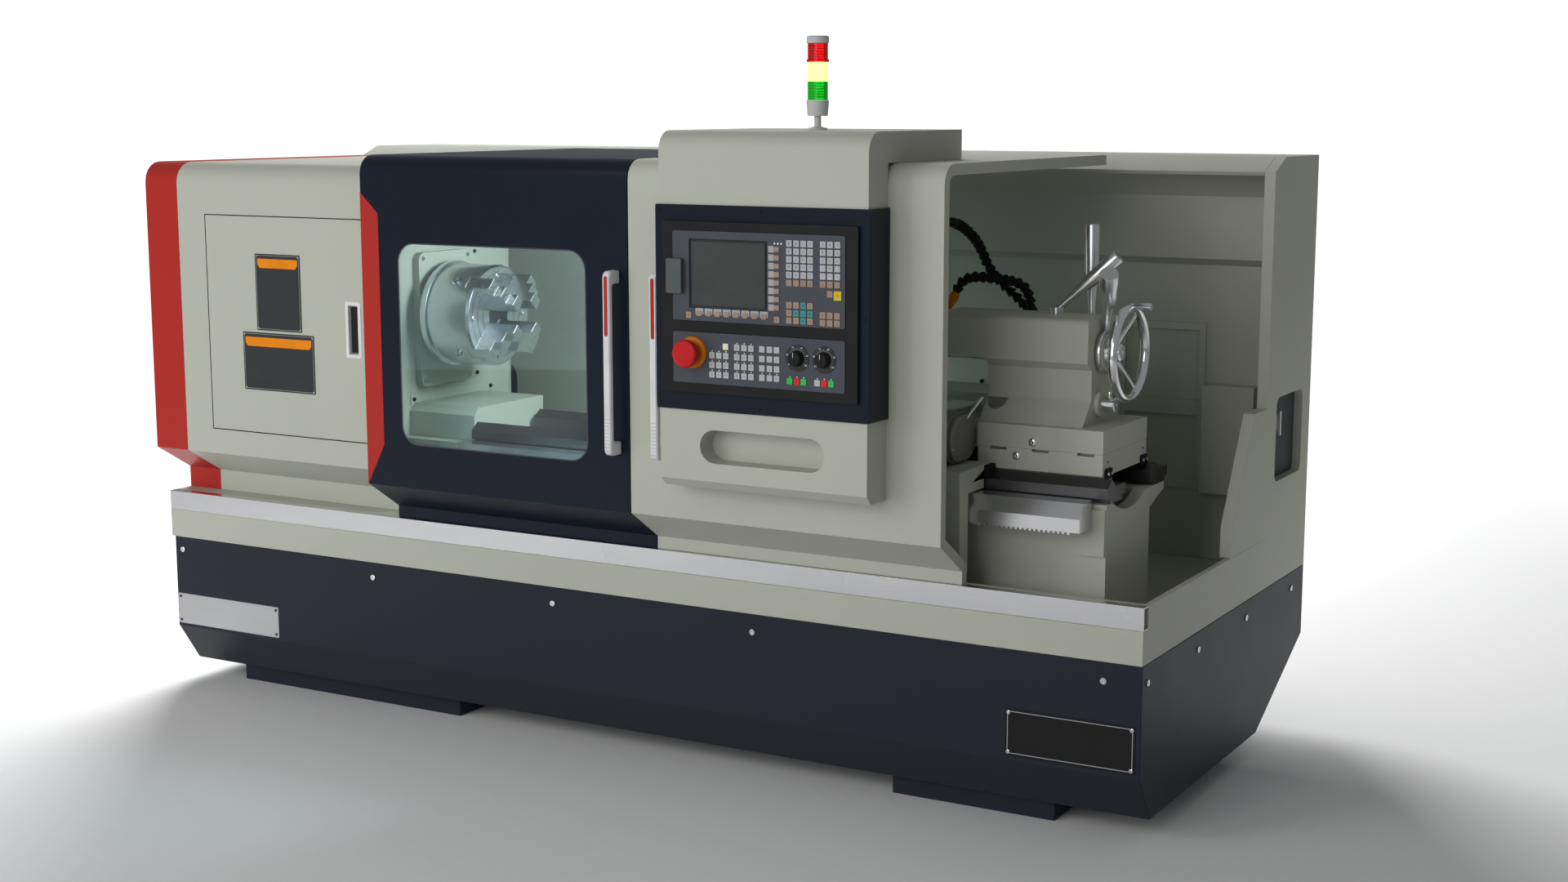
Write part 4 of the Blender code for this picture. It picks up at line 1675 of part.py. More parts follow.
def tool_turret():
    """The four-sided turret with a tool slot along each side."""
    half = TURRET_WIDTH / 2
    outline = rounded(rectangle(TURRET_X - half, TURRET_Y - half, TURRET_WIDTH, TURRET_WIDTH, SHEET * 2),
        steps=2)
    top = TURRET_BOTTOM + TURRET_HEIGHT
    turret = slab(
        "tool_turret", [outline], TURRET_BOTTOM, top, ALONG_Z, "satin_steel", "turret",
        (TURRET_X, TURRET_Y))
    pillar = drum(
        "turret_pillar", TURRET_PILLAR_RADIUS, -ROOT_SINK, TURRET_PILLAR_HEIGHT, SMALL_STEPS,
        (TURRET_X, TURRET_Y, top), (0, 0, 0), None, "turret")
    fuse(turret, pillar)
    low = TURRET_BOTTOM + TURRET_SLOT_BOTTOM
    high = low + TURRET_SLOT_HEIGHT
    far, near = half + OVERRUN, half - TURRET_SLOT_DEPTH
    for name, span in (("front", (-far, -far, far, -near)), ("rear", (-far, near, far, far)),
                       ("left", (-far, -far, -near, far)), ("right", (near, -far, far, far))):
        cut(turret, block(
            "tool_slot_" + name, (TURRET_X + span[0], TURRET_Y + span[1], low),
            (TURRET_X + span[2], TURRET_Y + span[3], high), None, "turret"))


def smooth_route(route, spacing):
    """Evenly spaced points on a smooth curve through a route's own points."""
    ends = [route[0] * 2 - route[1], *route, route[-1] * 2 - route[-2]]
    fine = []
    for before, here, there, after in zip(ends, ends[1:], ends[2:], ends[3:]):
        for step in range(HOSE_CURVE_STEPS):
            t = step / HOSE_CURVE_STEPS
            slope = there - before
            bend = 2 * before - 5 * here + 4 * there - after
            twist = 3 * here - before - 3 * there + after
            fine.append(here + (slope * t + bend * t * t + twist * t * t * t) / 2)
    fine.append(route[-1])
    total = sum((b - a).length for a, b in zip(fine, fine[1:]))
    count = max(round(total / spacing), 1)
    points, walked, index = [fine[0]], 0, 0
    for number in range(1, count):
        target = total * number / count
        while walked + (fine[index + 1] - fine[index]).length < target:
            walked += (fine[index + 1] - fine[index]).length
            index += 1
        segment = fine[index + 1] - fine[index]
        points.append(fine[index] + segment * ((target - walked) / segment.length))
    return points + [fine[-1]]


def coolant_hose(name, route):
    """A jointed hose: ball-shaped links with necks between them, and a tapered nozzle."""
    lift = Vector((0, 0, SEAT))
    points = smooth_route([Vector(place) + lift for place in route], HOSE_LINK / 2)
    points[1] = points[0] + Vector((0, 0, HOSE_LINK / 2))
    radii = [HOSE_RADIUS * (1 if number % 2 == 0 else HOSE_NECK_SHARE) for number in range(len(points))]
    heading = (points[-1] - points[-2]).normalized()
    points += [points[-1] + heading * NOZZLE_LENGTH / 4, points[-1] + heading * NOZZLE_LENGTH]
    radii += [HOSE_RADIUS * HOSE_NECK_SHARE, NOZZLE_TIP_RADIUS]
    rod(name, points, radii, "rubber", "carriage", route[0], resolution=2)


def tailstock_sole():
    """The lower plate of the tailstock, with pads on the ways and pry notches."""
    rear = SOLE_FRONT + SOLE_WIDTH
    pad_front = WAY_FRONT + WAY_VALLEY + ROOT_SINK
    sole = block("tailstock_sole", (SOLE_START, SOLE_FRONT, SADDLE_SEAT), (SOLE_END, rear, SOLE_TOP),
        "cream_paint",
                 "tailstock")
    pad = block(
        "sole_pad", (SOLE_START + ROOT_SINK, pad_front, WAY_FLAT + SEAT),
        (SOLE_END - ROOT_SINK, pad_front + SOLE_PAD_WIDTH, SADDLE_SEAT + ROOT_SINK), None, "tailstock")
    fuse(sole, pad)
    spans = []
    for share in SOLE_NOTCH_SHARES:
        start = SOLE_START + share * (SOLE_END - SOLE_START)
        low = (start, SOLE_FRONT - OVERRUN, SOLE_TOP - SOLE_NOTCH_DEPTH)
        spans.append((low, (start + SOLE_NOTCH_LENGTH, SOLE_FRONT + OVERRUN, SOLE_TOP + OVERRUN)))
    cut(sole, boxes("sole_notches", spans, (0, 0, 0), None, "tailstock"))


def tailstock_body():
    """The tailstock casting: slab, flared column and the barrel that overhangs to the left."""
    rear = SOLE_FRONT + SOLE_WIDTH
    barrel_low = SPINDLE_HEIGHT - BARREL_BOTTOM
    front, back = SPINDLE_DEPTH - BARREL_HALF_WIDTH, SPINDLE_DEPTH + BARREL_HALF_WIDTH
    shoulder = barrel_low - COLUMN_SHOULDER / 2
    outline = rounded([
        (COLUMN_FOOT_FRONT, SLAB_TOP - ROOT_SINK), (COLUMN_FOOT_REAR, SLAB_TOP - ROOT_SINK),
        (COLUMN_REAR, SLAB_TOP + COLUMN_FOOT_HEIGHT, COLUMN_SHOULDER / 2), (COLUMN_REAR, shoulder),
        (back, barrel_low), (back, BARREL_CREST, BARREL_RADIUS), (front, BARREL_CREST, BARREL_RADIUS),
        (front, barrel_low), (COLUMN_FRONT, shoulder), (COLUMN_FRONT, SLAB_TOP + COLUMN_FOOT_HEIGHT,
                                                        COLUMN_SHOULDER / 2)], steps=4)
    body = slab("tailstock_body", [outline], BARREL_START, COLUMN_END, ALONG_X, "cream_paint",
        "tailstock")
    relief = block(
        "barrel_relief", (BARREL_START - OVERRUN, SOLE_FRONT - OVERRUN, SLAB_BOTTOM - OVERRUN),
        (COLUMN_START, rear + OVERRUN, barrel_low), None, "tailstock")
    cut(body, relief)
    base = block(
        "tailstock_slab", (SOLE_START, SOLE_FRONT, SLAB_BOTTOM), (SOLE_END, rear, SLAB_TOP), None,
        "tailstock")
    end_cap = drum(
        "end_cap", END_CAP_RADIUS, -ROOT_SINK, END_CAP_LENGTH, ROUND_STEPS,
        (COLUMN_END, SPINDLE_DEPTH, SPINDLE_HEIGHT),
        AXIS_RIGHT, None, "tailstock")
    lever_boss = drum(
        "bed_lever_boss", BED_LEVER_BOSS_RADIUS, -BED_LEVER_Y + COLUMN_REAR - ROOT_SINK,
        -CLAMP_BOSS_LENGTH,
        SMALL_STEPS, (BED_LEVER_X, BED_LEVER_Y, BED_LEVER_Z), (-math.pi / 2, 0, 0), None, "tailstock")
    shaft_boss = drum(
        "clamp_boss", CLAMP_BOSS_RADIUS, -ROOT_SINK, CLAMP_BOSS_LENGTH, STACK_STEPS,
        (COLUMN_END, CLAMP_SHAFT_Y, CLAMP_SHAFT_Z), AXIS_RIGHT, None, "tailstock")
    pocket = drum(
        "clamp_pocket", CLAMP_POCKET_RADIUS, 0, OVERRUN * 2, STACK_STEPS,
        (COLUMN_START + CLAMP_POCKET_RADIUS, COLUMN_FRONT, SLAB_TOP + CLAMP_POCKET_DEPTH), (0, 0, 0),
        None,
        "tailstock")
    nut = drum(
        "clamp_nut", CLAMP_NUT_RADIUS, -ROOT_SINK, CLAMP_NUT_HEIGHT, CLAMP_NUT_SIDES,
        (COLUMN_START + CLAMP_POCKET_RADIUS, COLUMN_FRONT - CLAMP_NUT_RADIUS / 2,
            SLAB_TOP + CLAMP_POCKET_DEPTH),
        (0, 0, 0), None, "tailstock")
    fuse(body, base, end_cap, shaft_boss)
    cut(body, pocket)
    fuse(body, nut, lever_boss)
    bore = drum(
        "quill_bore", QUILL_RADIUS + SEAT, BARREL_START - OVERRUN, BARREL_START + QUILL_LENGTH,
        ROUND_STEPS,
        (0, SPINDLE_DEPTH, SPINDLE_HEIGHT), AXIS_RIGHT, None, "tailstock")
    cut(body, bore)


def quill():
    """The quill in the barrel, with its taper bore."""
    tip = -QUILL_REACH
    back = QUILL_LENGTH - QUILL_REACH
    profile = [
        (0, back), (QUILL_RADIUS, back), (QUILL_RADIUS, tip + SHEET), (QUILL_RADIUS - SHEET, tip),
        (QUILL_TAPER_RADIUS, tip), (QUILL_TAPER_END, tip + QUILL_TAPER_DEPTH),
        (0, tip + QUILL_TAPER_DEPTH)]
    turned("quill", profile, ROUND_STEPS, (BARREL_START, SPINDLE_DEPTH, SPINDLE_HEIGHT), AXIS_RIGHT,
        "satin_steel", "quill")


def handwheel():
    """The handwheel: hub, dished spokes, a round rim and a crank grip."""
    place = (WHEEL_START, SPINDLE_DEPTH, SPINDLE_HEIGHT)
    hub = [
        (0, WHEEL_HUB_LENGTH), (WHEEL_HUB_RADIUS * 3 / 4, WHEEL_HUB_LENGTH),
        (WHEEL_HUB_RADIUS, WHEEL_HUB_LENGTH / 2),
        (WHEEL_BOSS_RADIUS, WHEEL_HUB_LENGTH / 2), (WHEEL_BOSS_RADIUS, 0), (0, 0)]
    wheel = turned("handwheel", hub, STACK_STEPS, place, AXIS_RIGHT, "chrome", "handwheel")
    middle = WHEEL_DISH + WHEEL_RIM_WIDTH / 2
    centre = WHEEL_RADIUS - WHEEL_RIM_DEPTH / 2
    ring = []
    for step in range(WHEEL_RIM_STEPS):
        turn = -2 * math.pi * step / WHEEL_RIM_STEPS
        ring.append((centre + WHEEL_RIM_DEPTH / 2 * math.cos(turn),
            middle + WHEEL_RIM_WIDTH / 2 * math.sin(turn)))
    fuse(wheel, turned("wheel_rim", ring, WHEEL_STEPS, place, AXIS_RIGHT, None, "handwheel", ring=True))
    for number in range(WHEEL_SPOKES):
        turn = 2 * math.pi * (number + 1 / 4) / WHEEL_SPOKES
        out = Vector((0, math.sin(turn), math.cos(turn)))
        root = Vector(place) + Vector((WHEEL_HUB_LENGTH / 4, 0, 0)) + out * WHEEL_HUB_RADIUS / 2
        tip = Vector(place) + Vector((middle, 0, 0)) + out * centre
        fuse(wheel, rod(
            "spoke_" + str(number), (root, tip), (WHEEL_SPOKE_RADIUS * 3 / 2, WHEEL_SPOKE_RADIUS), None,
            "handwheel", place, resolution=1))
    grip_root = Vector(place) + Vector((middle, 0, centre))
    grip_tip = grip_root + Vector((CRANK_LENGTH, 0, 0))
    fuse(wheel, rod(
        "crank_grip", (grip_root, grip_root.lerp(grip_tip, 1 / 2), grip_tip),
        (CRANK_RADIUS * 2 / 3, CRANK_RADIUS, CRANK_RADIUS), None, "handwheel", place, resolution=2))


def lever(name, foot, reach, paint, body, hub):
    """A lever: a thin neck that widens to a long grip, fused to the hub at its foot."""
    foot = Vector(foot)
    tip = foot + Vector(reach)
    neck = foot.lerp(tip, LEVER_GRIP_SHARE)
    points = (foot, neck, tip.lerp(foot, 1 / 12), tip)
    radii = (LEVER_NECK_RADIUS, LEVER_NECK_RADIUS * 3 / 2, LEVER_TIP_RADIUS, LEVER_TIP_RADIUS * 4 / 5)
    fuse(rod(name, points, radii, paint, body, foot), hub)


def tailstock_levers():
    """The quill lock on top, the feed gear lever at the end and the bed lever behind."""
    crest = BARREL_CREST + SEAT
    foot = (QUILL_LEVER_X, QUILL_LEVER_Y, crest + LEVER_HUB_HEIGHT / 2)
    hub = drum(
        "quill_lock_hub", LEVER_HUB_RADIUS, -LEVER_HUB_HEIGHT / 2, LEVER_HUB_HEIGHT / 2, SMALL_STEPS,
        foot, (0, 0, 0),
        None, "quill_lock")
    lever("quill_lock_lever", foot, QUILL_LEVER_REACH, "satin_steel", "quill_lock", hub)
    inner = END_CAP_RADIUS + SEAT
    half = LEVER_RING_WIDTH / 2
    ring = turned(
        "gear_lever_ring", [
            (inner, half), (inner + LEVER_RING_THICKNESS, half), (inner + LEVER_RING_THICKNESS, -half),
            (inner, -half)],
        ROUND_STEPS, (GEAR_LEVER_X, SPINDLE_DEPTH, SPINDLE_HEIGHT), AXIS_RIGHT, None, "gear_lever",
        ring=True)
    foot = (GEAR_LEVER_X, SPINDLE_DEPTH, SPINDLE_HEIGHT + inner + LEVER_RING_THICKNESS * 3 / 4)
    lever("feed_gear_lever", foot, GEAR_LEVER_REACH, "satin_steel", "gear_lever", ring)
    rear = BED_LEVER_Y - CLAMP_BOSS_LENGTH + SEAT
    hub = drum(
        "bed_lever_hub", LEVER_HUB_RADIUS, rear - BED_LEVER_Y, rear - BED_LEVER_Y + LEVER_HUB_HEIGHT,
        SMALL_STEPS,
        (BED_LEVER_X, BED_LEVER_Y, BED_LEVER_Z), (-math.pi / 2, 0, 0), None, "bed_lever")
    lever(
        "bed_clamp_lever", (BED_LEVER_X, BED_LEVER_Y, BED_LEVER_Z), BED_LEVER_REACH, "satin_steel",
        "bed_lever", hub)


def clamp_shaft():
    """The short eccentric shaft at the tailstock's end, with its turning pin."""
    start = CLAMP_BOSS_LENGTH + SEAT
    profile = [
        (0, start + CLAMP_SHAFT_LENGTH), (CLAMP_SHAFT_RADIUS * 4 / 5, start + CLAMP_SHAFT_LENGTH),
        (CLAMP_SHAFT_RADIUS, start + CLAMP_SHAFT_LENGTH - SHEET), (CLAMP_SHAFT_RADIUS, start), (0, start)]
    place = (COLUMN_END, CLAMP_SHAFT_Y, CLAMP_SHAFT_Z)
    shaft = turned("clamp_shaft", profile, STACK_STEPS, place, AXIS_RIGHT, "chrome", "clamp_shaft")
    pin_place = (COLUMN_END + start + CLAMP_SHAFT_LENGTH / 2, place[1], place[2] + CLAMP_SHAFT_RADIUS)
    fuse(shaft, drum(
        "clamp_pin", CLAMP_PIN_RADIUS, -ROOT_SINK * 2, CLAMP_PIN_LENGTH, SMALL_STEPS, pin_place,
        (0, 0, 0), None,
        "clamp_shaft"))


def build():
    """Make every sub-part of the lathe."""
    make_finishes()
    make_carriers()
    base_cabinet()
    chip_tray()
    front_rail()
    rear_guard()
    rear_guard_end()
    isolator_lever()
    bed_ways()
    bed_casting()
    rack_bar()
    headstock_casting()
    headstock_guard()
    end_cover()
    access_door()
    left_door()
    right_door()
    control_housing()
    panel_frames()
    display_unit()
    machine_panel()
    estop_button()
    override_knob("feed_knob", FEED_DIAL_SHARES, "feed_knob")
    override_knob("speed_knob", SPEED_DIAL_SHARES, "speed_knob")
    usb_cover()
    stack_light()
    spindle_line()
    chuck_jaws()
    main_motor()
    motor_pulley()
    drive_belt()
    z_drive()
    saddle()
    cross_slide()
    turret_motor()
    tool_turret()
    coolant_hose("high_coolant_hose", HIGH_HOSE_ROUTE)
    coolant_hose("low_coolant_hose", LOW_HOSE_ROUTE)
    tailstock_sole()
    tailstock_body()
    quill()
    handwheel()
    tailstock_levers()
    clamp_shaft()


build()
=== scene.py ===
"""Looks of the cnc turning lathe: finishes, fittings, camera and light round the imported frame.

Sizes are in metres. Places are given in the machine's own sizes, as the part's source has
them: X from the tray's left end, Y from its front edge, Z from the floor. at() turns them
into the row's frame.
"""

import math

import bmesh
import bpy
from mathutils import Matrix, Vector


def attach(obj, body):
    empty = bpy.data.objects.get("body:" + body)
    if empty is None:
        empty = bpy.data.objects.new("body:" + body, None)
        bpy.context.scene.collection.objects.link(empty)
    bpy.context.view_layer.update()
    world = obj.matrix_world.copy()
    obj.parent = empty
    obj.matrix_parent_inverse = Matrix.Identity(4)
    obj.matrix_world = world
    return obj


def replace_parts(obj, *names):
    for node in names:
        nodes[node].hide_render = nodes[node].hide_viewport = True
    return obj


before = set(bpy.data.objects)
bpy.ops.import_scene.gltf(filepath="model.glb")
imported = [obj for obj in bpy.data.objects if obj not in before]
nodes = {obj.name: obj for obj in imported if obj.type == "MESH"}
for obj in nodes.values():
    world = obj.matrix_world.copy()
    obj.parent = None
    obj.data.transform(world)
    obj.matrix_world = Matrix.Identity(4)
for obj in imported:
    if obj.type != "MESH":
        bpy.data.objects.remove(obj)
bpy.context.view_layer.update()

MIDDLE = Vector((1.576, 0.5222, 0))
X_AXIS, Y_AXIS, Z_AXIS = Vector((1, 0, 0)), Vector((0, 1, 0)), Vector((0, 0, 1))
FRONT, BACK, RIGHT, LEFT, UP = -Y_AXIS, Y_AXIS, X_AXIS, -X_AXIS, Z_AXIS

# Places of the source that the fittings sit on
DOOR_FRONT = -0.114
HOUSE_FRONT = -0.0434
UNIT_LEFT = 1.9909
UNIT_WIDTH = 0.483
UNIT_FRONT = -0.2326
UNIT_MIDDLE = 2.2324
DISPLAY_BOTTOM, DISPLAY_HEIGHT = 1.2472, 0.2208
PANEL_BOTTOM, PANEL_HEIGHT = 1.0925, 0.1265
HANDLE_PROUD = 0.0503
HANDLE_FACE = DOOR_FRONT - HANDLE_PROUD
AXIS_Y, AXIS_Z = 0.387, 1.155
RIGHT_SIDE = 3.152

# Edges, seats and thin sheets
WELD_DISTANCE = 0.00002
SMOOTH_ANGLE = 32
SHARP_ANGLE = 35
SINK = 0.0002
PLATE_THICKNESS = 0.0012
PLATE_SPAN = (-0.0003, PLATE_THICKNESS)
SCREW_SINK = 0.0005

# Where a noise's values mostly lie, and what specular level suits paint and plastic
NOISE_LOW, NOISE_HIGH = 0.3, 0.7
SPECULAR_LEVEL = 0.14


def at(x, y, z):
    """A place in the machine's own sizes, in the row's frame."""
    return Vector((x, y, z)) - MIDDLE


def linear(red, green, blue):
    """A colour that is given from 0 to 255 as it is seen, in scene light."""
    return tuple((value / 255) ** 2.2 for value in (red, green, blue))


def placed(name, data):
    """A new object in the scene."""
    made = bpy.data.objects.new(name, data)
    bpy.context.scene.collection.objects.link(made)
    return made


# Finishes
finishes = {}


def fill(tree, node, inputs):
    """Sets a node's inputs to values, or links them to other nodes' outputs."""
    for name, given in inputs.items():
        if isinstance(given, bpy.types.NodeSocket):
            tree.links.new(given, node.inputs[name])
        else:
            node.inputs[name].default_value = given


def add_node(tree, kind, inputs):
    """A shader node with some of its inputs filled."""
    node = tree.nodes.new("ShaderNode" + kind)
    fill(tree, node, inputs)
    return node


def shaded(name, colour, roughness, metallic=0.0):
    """A material's tree and shader, and the object's own coordinates."""
    material = bpy.data.materials.new(name)
    material.use_nodes = True
    tree = material.node_tree
    shader = tree.nodes["Principled BSDF"]
    fill(tree, shader, {"Base Color": (*colour, 1), "Roughness": roughness, "Metallic": metallic,
        "Specular IOR Level": SPECULAR_LEVEL})
    finishes[name] = material
    return tree, shader, add_node(tree, "TexCoord", {}).outputs["Object"]


def noise(tree, vector, scale, detail=3.0):
    """A noise value over the coordinates."""
    return add_node(tree, "TexNoise", {"Scale": scale, "Detail": detail, "Vector": vector}).outputs["Fac"]


def tint(colour, share):
    """The colour made lighter or darker by a share."""
    return tuple(min(1.0, part * (1 + share)) for part in colour)


def coloured(tree, shader, value, stops):
    """The shader's colour as a ramp over a value, between two (place, colour) stops."""
    node = add_node(tree, "ValToRGB", {"Fac": value})
    for element, (place, colour) in zip(node.color_ramp.elements, stops):
        element.position = place
        element.color = (*colour, 1)
    fill(tree, shader, {"Base Color": node.outputs["Color"]})


def drifting(tree, shader, value, colour, share):
    """The shader's colour made a share darker and lighter by a noise value."""
    coloured(tree, shader, value, [(NOISE_LOW, tint(colour, -share)), (NOISE_HIGH, tint(colour, share))])


def uneven(tree, shader, value, low, high):
    """The shader's roughness spread from low to high by a noise value."""
    spread = {"From Min": NOISE_LOW, "From Max": NOISE_HIGH, "To Min": low, "To Max": high,
        "Value": value}
    fill(tree, shader, {"Roughness": add_node(tree, "MapRange", spread).outputs["Result"]})


def grain(tree, shader, value, strength, distance):
    """A bump over the shader's normal."""
    bump = add_node(tree, "Bump", {"Strength": strength, "Distance": distance, "Height": value})
    fill(tree, shader, {"Normal": bump.outputs["Normal"]})


def mixed(tree, share, first, second):
    """Two shaders mixed by a share."""
    mix = tree.nodes.new("ShaderNodeMixShader")
    for socket, output in zip(mix.inputs, (share, first, second)):
        tree.links.new(output, socket)
    return mix.outputs["Shader"]


def ray_kind(tree, kind):
    """Whether the ray is of a kind."""
    return tree.nodes.new("ShaderNodeLightPath").outputs[kind]


def paint(name, colour, roughness, drift=0.015, peel=0.06):
    """Sprayed paint: a faint drift of tone, fine orange peel and uneven gloss."""
    tree, shader, where = shaded(name, colour, roughness)
    drifting(tree, shader, noise(tree, where, 2.2, 5.0), colour, drift)
    uneven(tree, shader, noise(tree, where, 9.0), roughness - 0.012, roughness + 0.014)
    grain(tree, shader, noise(tree, where, 420.0, 2.0), peel, 0.0006)


def brushed(name, colour, roughness, scale=(3, 900, 900), drift=0.05, strength=0.10):
    """Metal with fine lines along its length."""
    tree, shader, where = shaded(name, colour, roughness, 1.0)
    stretched = add_node(tree, "Mapping", {"Scale": scale, "Vector": where}).outputs["Vector"]
    lines = noise(tree, stretched, 1.0, 2.0)
    drifting(tree, shader, lines, colour, drift)
    uneven(tree, shader, noise(tree, where, 5.0, 4.0), roughness - 0.015, roughness + 0.02)
    grain(tree, shader, lines, strength, 0.00002)


def moulded(name, colour, roughness, texture=900.0, strength=0.10, metallic=0.0):
    """Moulded plastic or a cast skin with a fine texture."""
    tree, shader, where = shaded(name, colour, roughness, metallic)
    fine = noise(tree, where, texture, 2.0)
    drifting(tree, shader, noise(tree, where, 14.0, 3.0), colour, 0.07)
    uneven(tree, shader, fine, roughness - 0.04, roughness + 0.05)
    grain(tree, shader, fine, strength, 0.0003)


def lens(name, colour, glow):
    """A ribbed, see-through coloured lens with a little light of its own, its colour painted darker and
    lighter over the ribs as light and shade.
    """
    tree, shader, where = shaded(name, colour, 0.12)
    rib_bump_and_shade = add_node(tree, "TexWave", {"Scale": 48.0, "Vector": where})
    rib_bump_and_shade.bands_direction = "Z"
    # Painted light and shade: the colour runs darker and lighter over the ribs. The bump gives the ribs
    # themselves.
    coloured(tree, shader, rib_bump_and_shade.outputs["Fac"], [(0.2, tint(colour, -0.25)), (0.8, tint(colour, 0.2))])
    fill(tree, shader, {"Transmission Weight": 0.35, "Emission Color": (*colour, 1),
        "Emission Strength": glow})
    grain(tree, shader, rib_bump_and_shade.outputs["Fac"], 0.25, 0.0008)


def pane(name, colour):
    """Tinted safety glass that lets the light through."""
    tree, shader, where = shaded(name, colour, 0.02)
    fill(tree, shader, {"Transmission Weight": 1.0, "IOR": 1.3})
    drifting(tree, shader, noise(tree, where, 4.0, 4.0), colour, 0.03)
    clear = add_node(tree, "BsdfTransparent", {"Color": (*colour, 1)})
    both = mixed(tree, ray_kind(tree, "Is Shadow Ray"), shader.outputs["BSDF"], clear.outputs["BSDF"])
    tree.links.new(both, tree.nodes["Material Output"].inputs["Surface"])


paint("cream_paint", linear(178, 180, 168), 0.42)
paint("navy_paint", linear(30, 35, 46), 0.32, 0.02)
paint("cabinet_paint", linear(43, 47, 55), 0.42, 0.02)
paint("red_paint", linear(170, 50, 44), 0.36)
brushed("satin_steel", linear(214, 214, 216), 0.26)
brushed("way_steel", linear(92, 92, 94), 0.36)
brushed("chrome", linear(228, 228, 230), 0.16, (60, 60, 60), 0.02, 0.02)
pane("window_glass", (0.68, 0.88, 0.91))
lens("lens_green", linear(20, 190, 40), 0.10)
lens("lens_amber", linear(255, 240, 120), 1.6)
lens("lens_red", linear(205, 22, 24), 0.12)
brushed("bare_aluminium", linear(188, 189, 190), 0.38)
# Each moulded finish: name, colour as seen, roughness, and its texture's values where they differ
MOULDED = (
    ("dark_iron", (134, 133, 130), 0.40, 300.0, 0.2, 0.5),
    ("black_plastic", (38, 38, 39), 0.45),
    ("gray_plastic", (75, 78, 84), 0.50),
    ("silver_plastic", (216, 216, 219), 0.42),
    ("light_gray_plastic", (190, 190, 190), 0.42),
    ("estop_red", (190, 38, 42), 0.33, 500.0, 0.04),
    ("rubber", (30, 30, 31), 0.70, 700.0, 0.2),
    ("usb_gray", (86, 91, 93), 0.45),
    ("collar_orange", (196, 112, 26), 0.40),
    ("screen_gray", (70, 72, 72), 0.22, 1400.0, 0.02),
    ("key_white", (176, 177, 180), 0.45),
    ("key_cream", (226, 220, 196), 0.45),
    ("key_brown", (156, 134, 118), 0.45),
    ("key_teal", (74, 138, 140), 0.45),
    ("key_yellow", (208, 186, 58), 0.45),
    ("key_green", (58, 186, 88), 0.40),
    ("key_red", (226, 46, 48), 0.40),
    ("label_gray", (160, 162, 165), 0.50),
    # The dark mark finish also serves as painted shade on the end panel pocket's floor.
    ("mark_dark", (70, 72, 76), 0.60),
    ("mark_white", (225, 226, 228), 0.55),
    ("plate_dark", (58, 59, 60), 0.38),
    ("band_orange", (226, 132, 26), 0.45),
    ("nozzle_orange", (192, 122, 26), 0.42),
    # The dark seam finish is painted shade for the gap round the access door.
    ("seam_dark", (24, 25, 25), 0.65))
for name, colour, *look in MOULDED:
    moulded(name, linear(*colour), *look)

for node in nodes.values():
    for place in node.material_slots:
        place.material = finishes[place.material.name]
nodes["usb_cover"].material_slots[0].material = finishes["usb_gray"]


# Soft edges on the CAD nodes
def smoothing():
    """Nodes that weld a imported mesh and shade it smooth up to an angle."""
    group = bpy.data.node_groups.new("welded", "GeometryNodeTree")
    group.interface.new_socket("Geometry", in_out="INPUT", socket_type="NodeSocketGeometry")
    group.interface.new_socket("Geometry", in_out="OUTPUT", socket_type="NodeSocketGeometry")
    entry = group.nodes.new("NodeGroupInput")
    leave = group.nodes.new("NodeGroupOutput")
    merge = group.nodes.new("GeometryNodeMergeByDistance")
    merge.inputs["Distance"].default_value = WELD_DISTANCE
    drop = group.nodes.new("GeometryNodeRemoveAttribute")
    drop.inputs["Name"].default_value = "custom_normal"
    faces = group.nodes.new("GeometryNodeSetShadeSmooth")
    faces.domain = "FACE"
    edges = group.nodes.new("GeometryNodeSetShadeSmooth")
    edges.domain = "EDGE"
    edges.inputs["Shade Smooth"].default_value = False
    angle = group.nodes.new("GeometryNodeInputMeshEdgeAngle")
    sharp = group.nodes.new("FunctionNodeCompare")
    sharp.operation = "GREATER_THAN"
    sharp.inputs["B"].default_value = math.radians(SMOOTH_ANGLE)
    group.links.new(angle.outputs["Unsigned Angle"], sharp.inputs["A"])
    group.links.new(sharp.outputs["Result"], edges.inputs["Selection"])
    chain = [entry, merge, drop, faces, edges, leave]
    for here, there in zip(chain, chain[1:]):
        group.links.new(here.outputs["Geometry"], there.inputs["Geometry"])
    return group


welded = smoothing()


def bevel(made, width, segments=2):
    """A small bevel on an object's sharp edges."""
    edge = made.modifiers.new("edges", "BEVEL")
    edge.width = width
    edge.segments = segments
    edge.limit_method = "ANGLE"
    edge.angle_limit = math.radians(SHARP_ANGLE)
    edge.harden_normals = True


# Width of the bevel, and the nodes that have it
EDGE_WIDTHS = (
    (0.0004, "rack_bar"),
    (0.0008, "front_way rear_way access_door chuck_body"),
    (0.0010, "front_rail headstock_guard end_cover left_door right_door panel_surround panel_bezel"),
    (0.0012, "chuck_jaw_1 chuck_jaw_2 chuck_jaw_3 chuck_jaw_4"),
    (0.0015, "chip_tray rear_guard rear_guard_end cross_slide tool_turret chuck_backplate main_motor"),
    (0.0020, "bed_casting saddle tailstock_sole turret_motor"),
    (0.0025, "base_cabinet tailstock_body"),
    (0.0030, "control_housing"),
    (0.0040, "headstock_casting"))
for node in nodes.values():
    node.modifiers.new("welded", "NODES").node_group = welded
for width, names in EDGE_WIDTHS:
    for name in names.split():
        bevel(nodes[name], width)


# Making pieces
def facing(normal):
    """A turn that takes Z to the normal, with the piece's Y kept upright where it can be."""
    side = UP if abs(normal.z) < 0.9 else BACK
    across = side.cross(normal).normalized()
    return Matrix((across, normal.cross(across), normal)).transposed().to_4x4()


def add_box(shape, low, high):
    """A box between two corners in the machine's sizes."""
    low, high = at(*low), at(*high)
    scale = Matrix.Diagonal((*(high - low), 1))
    bmesh.ops.create_cube(shape, size=1, matrix=Matrix.Translation((low + high) / 2) @ scale)


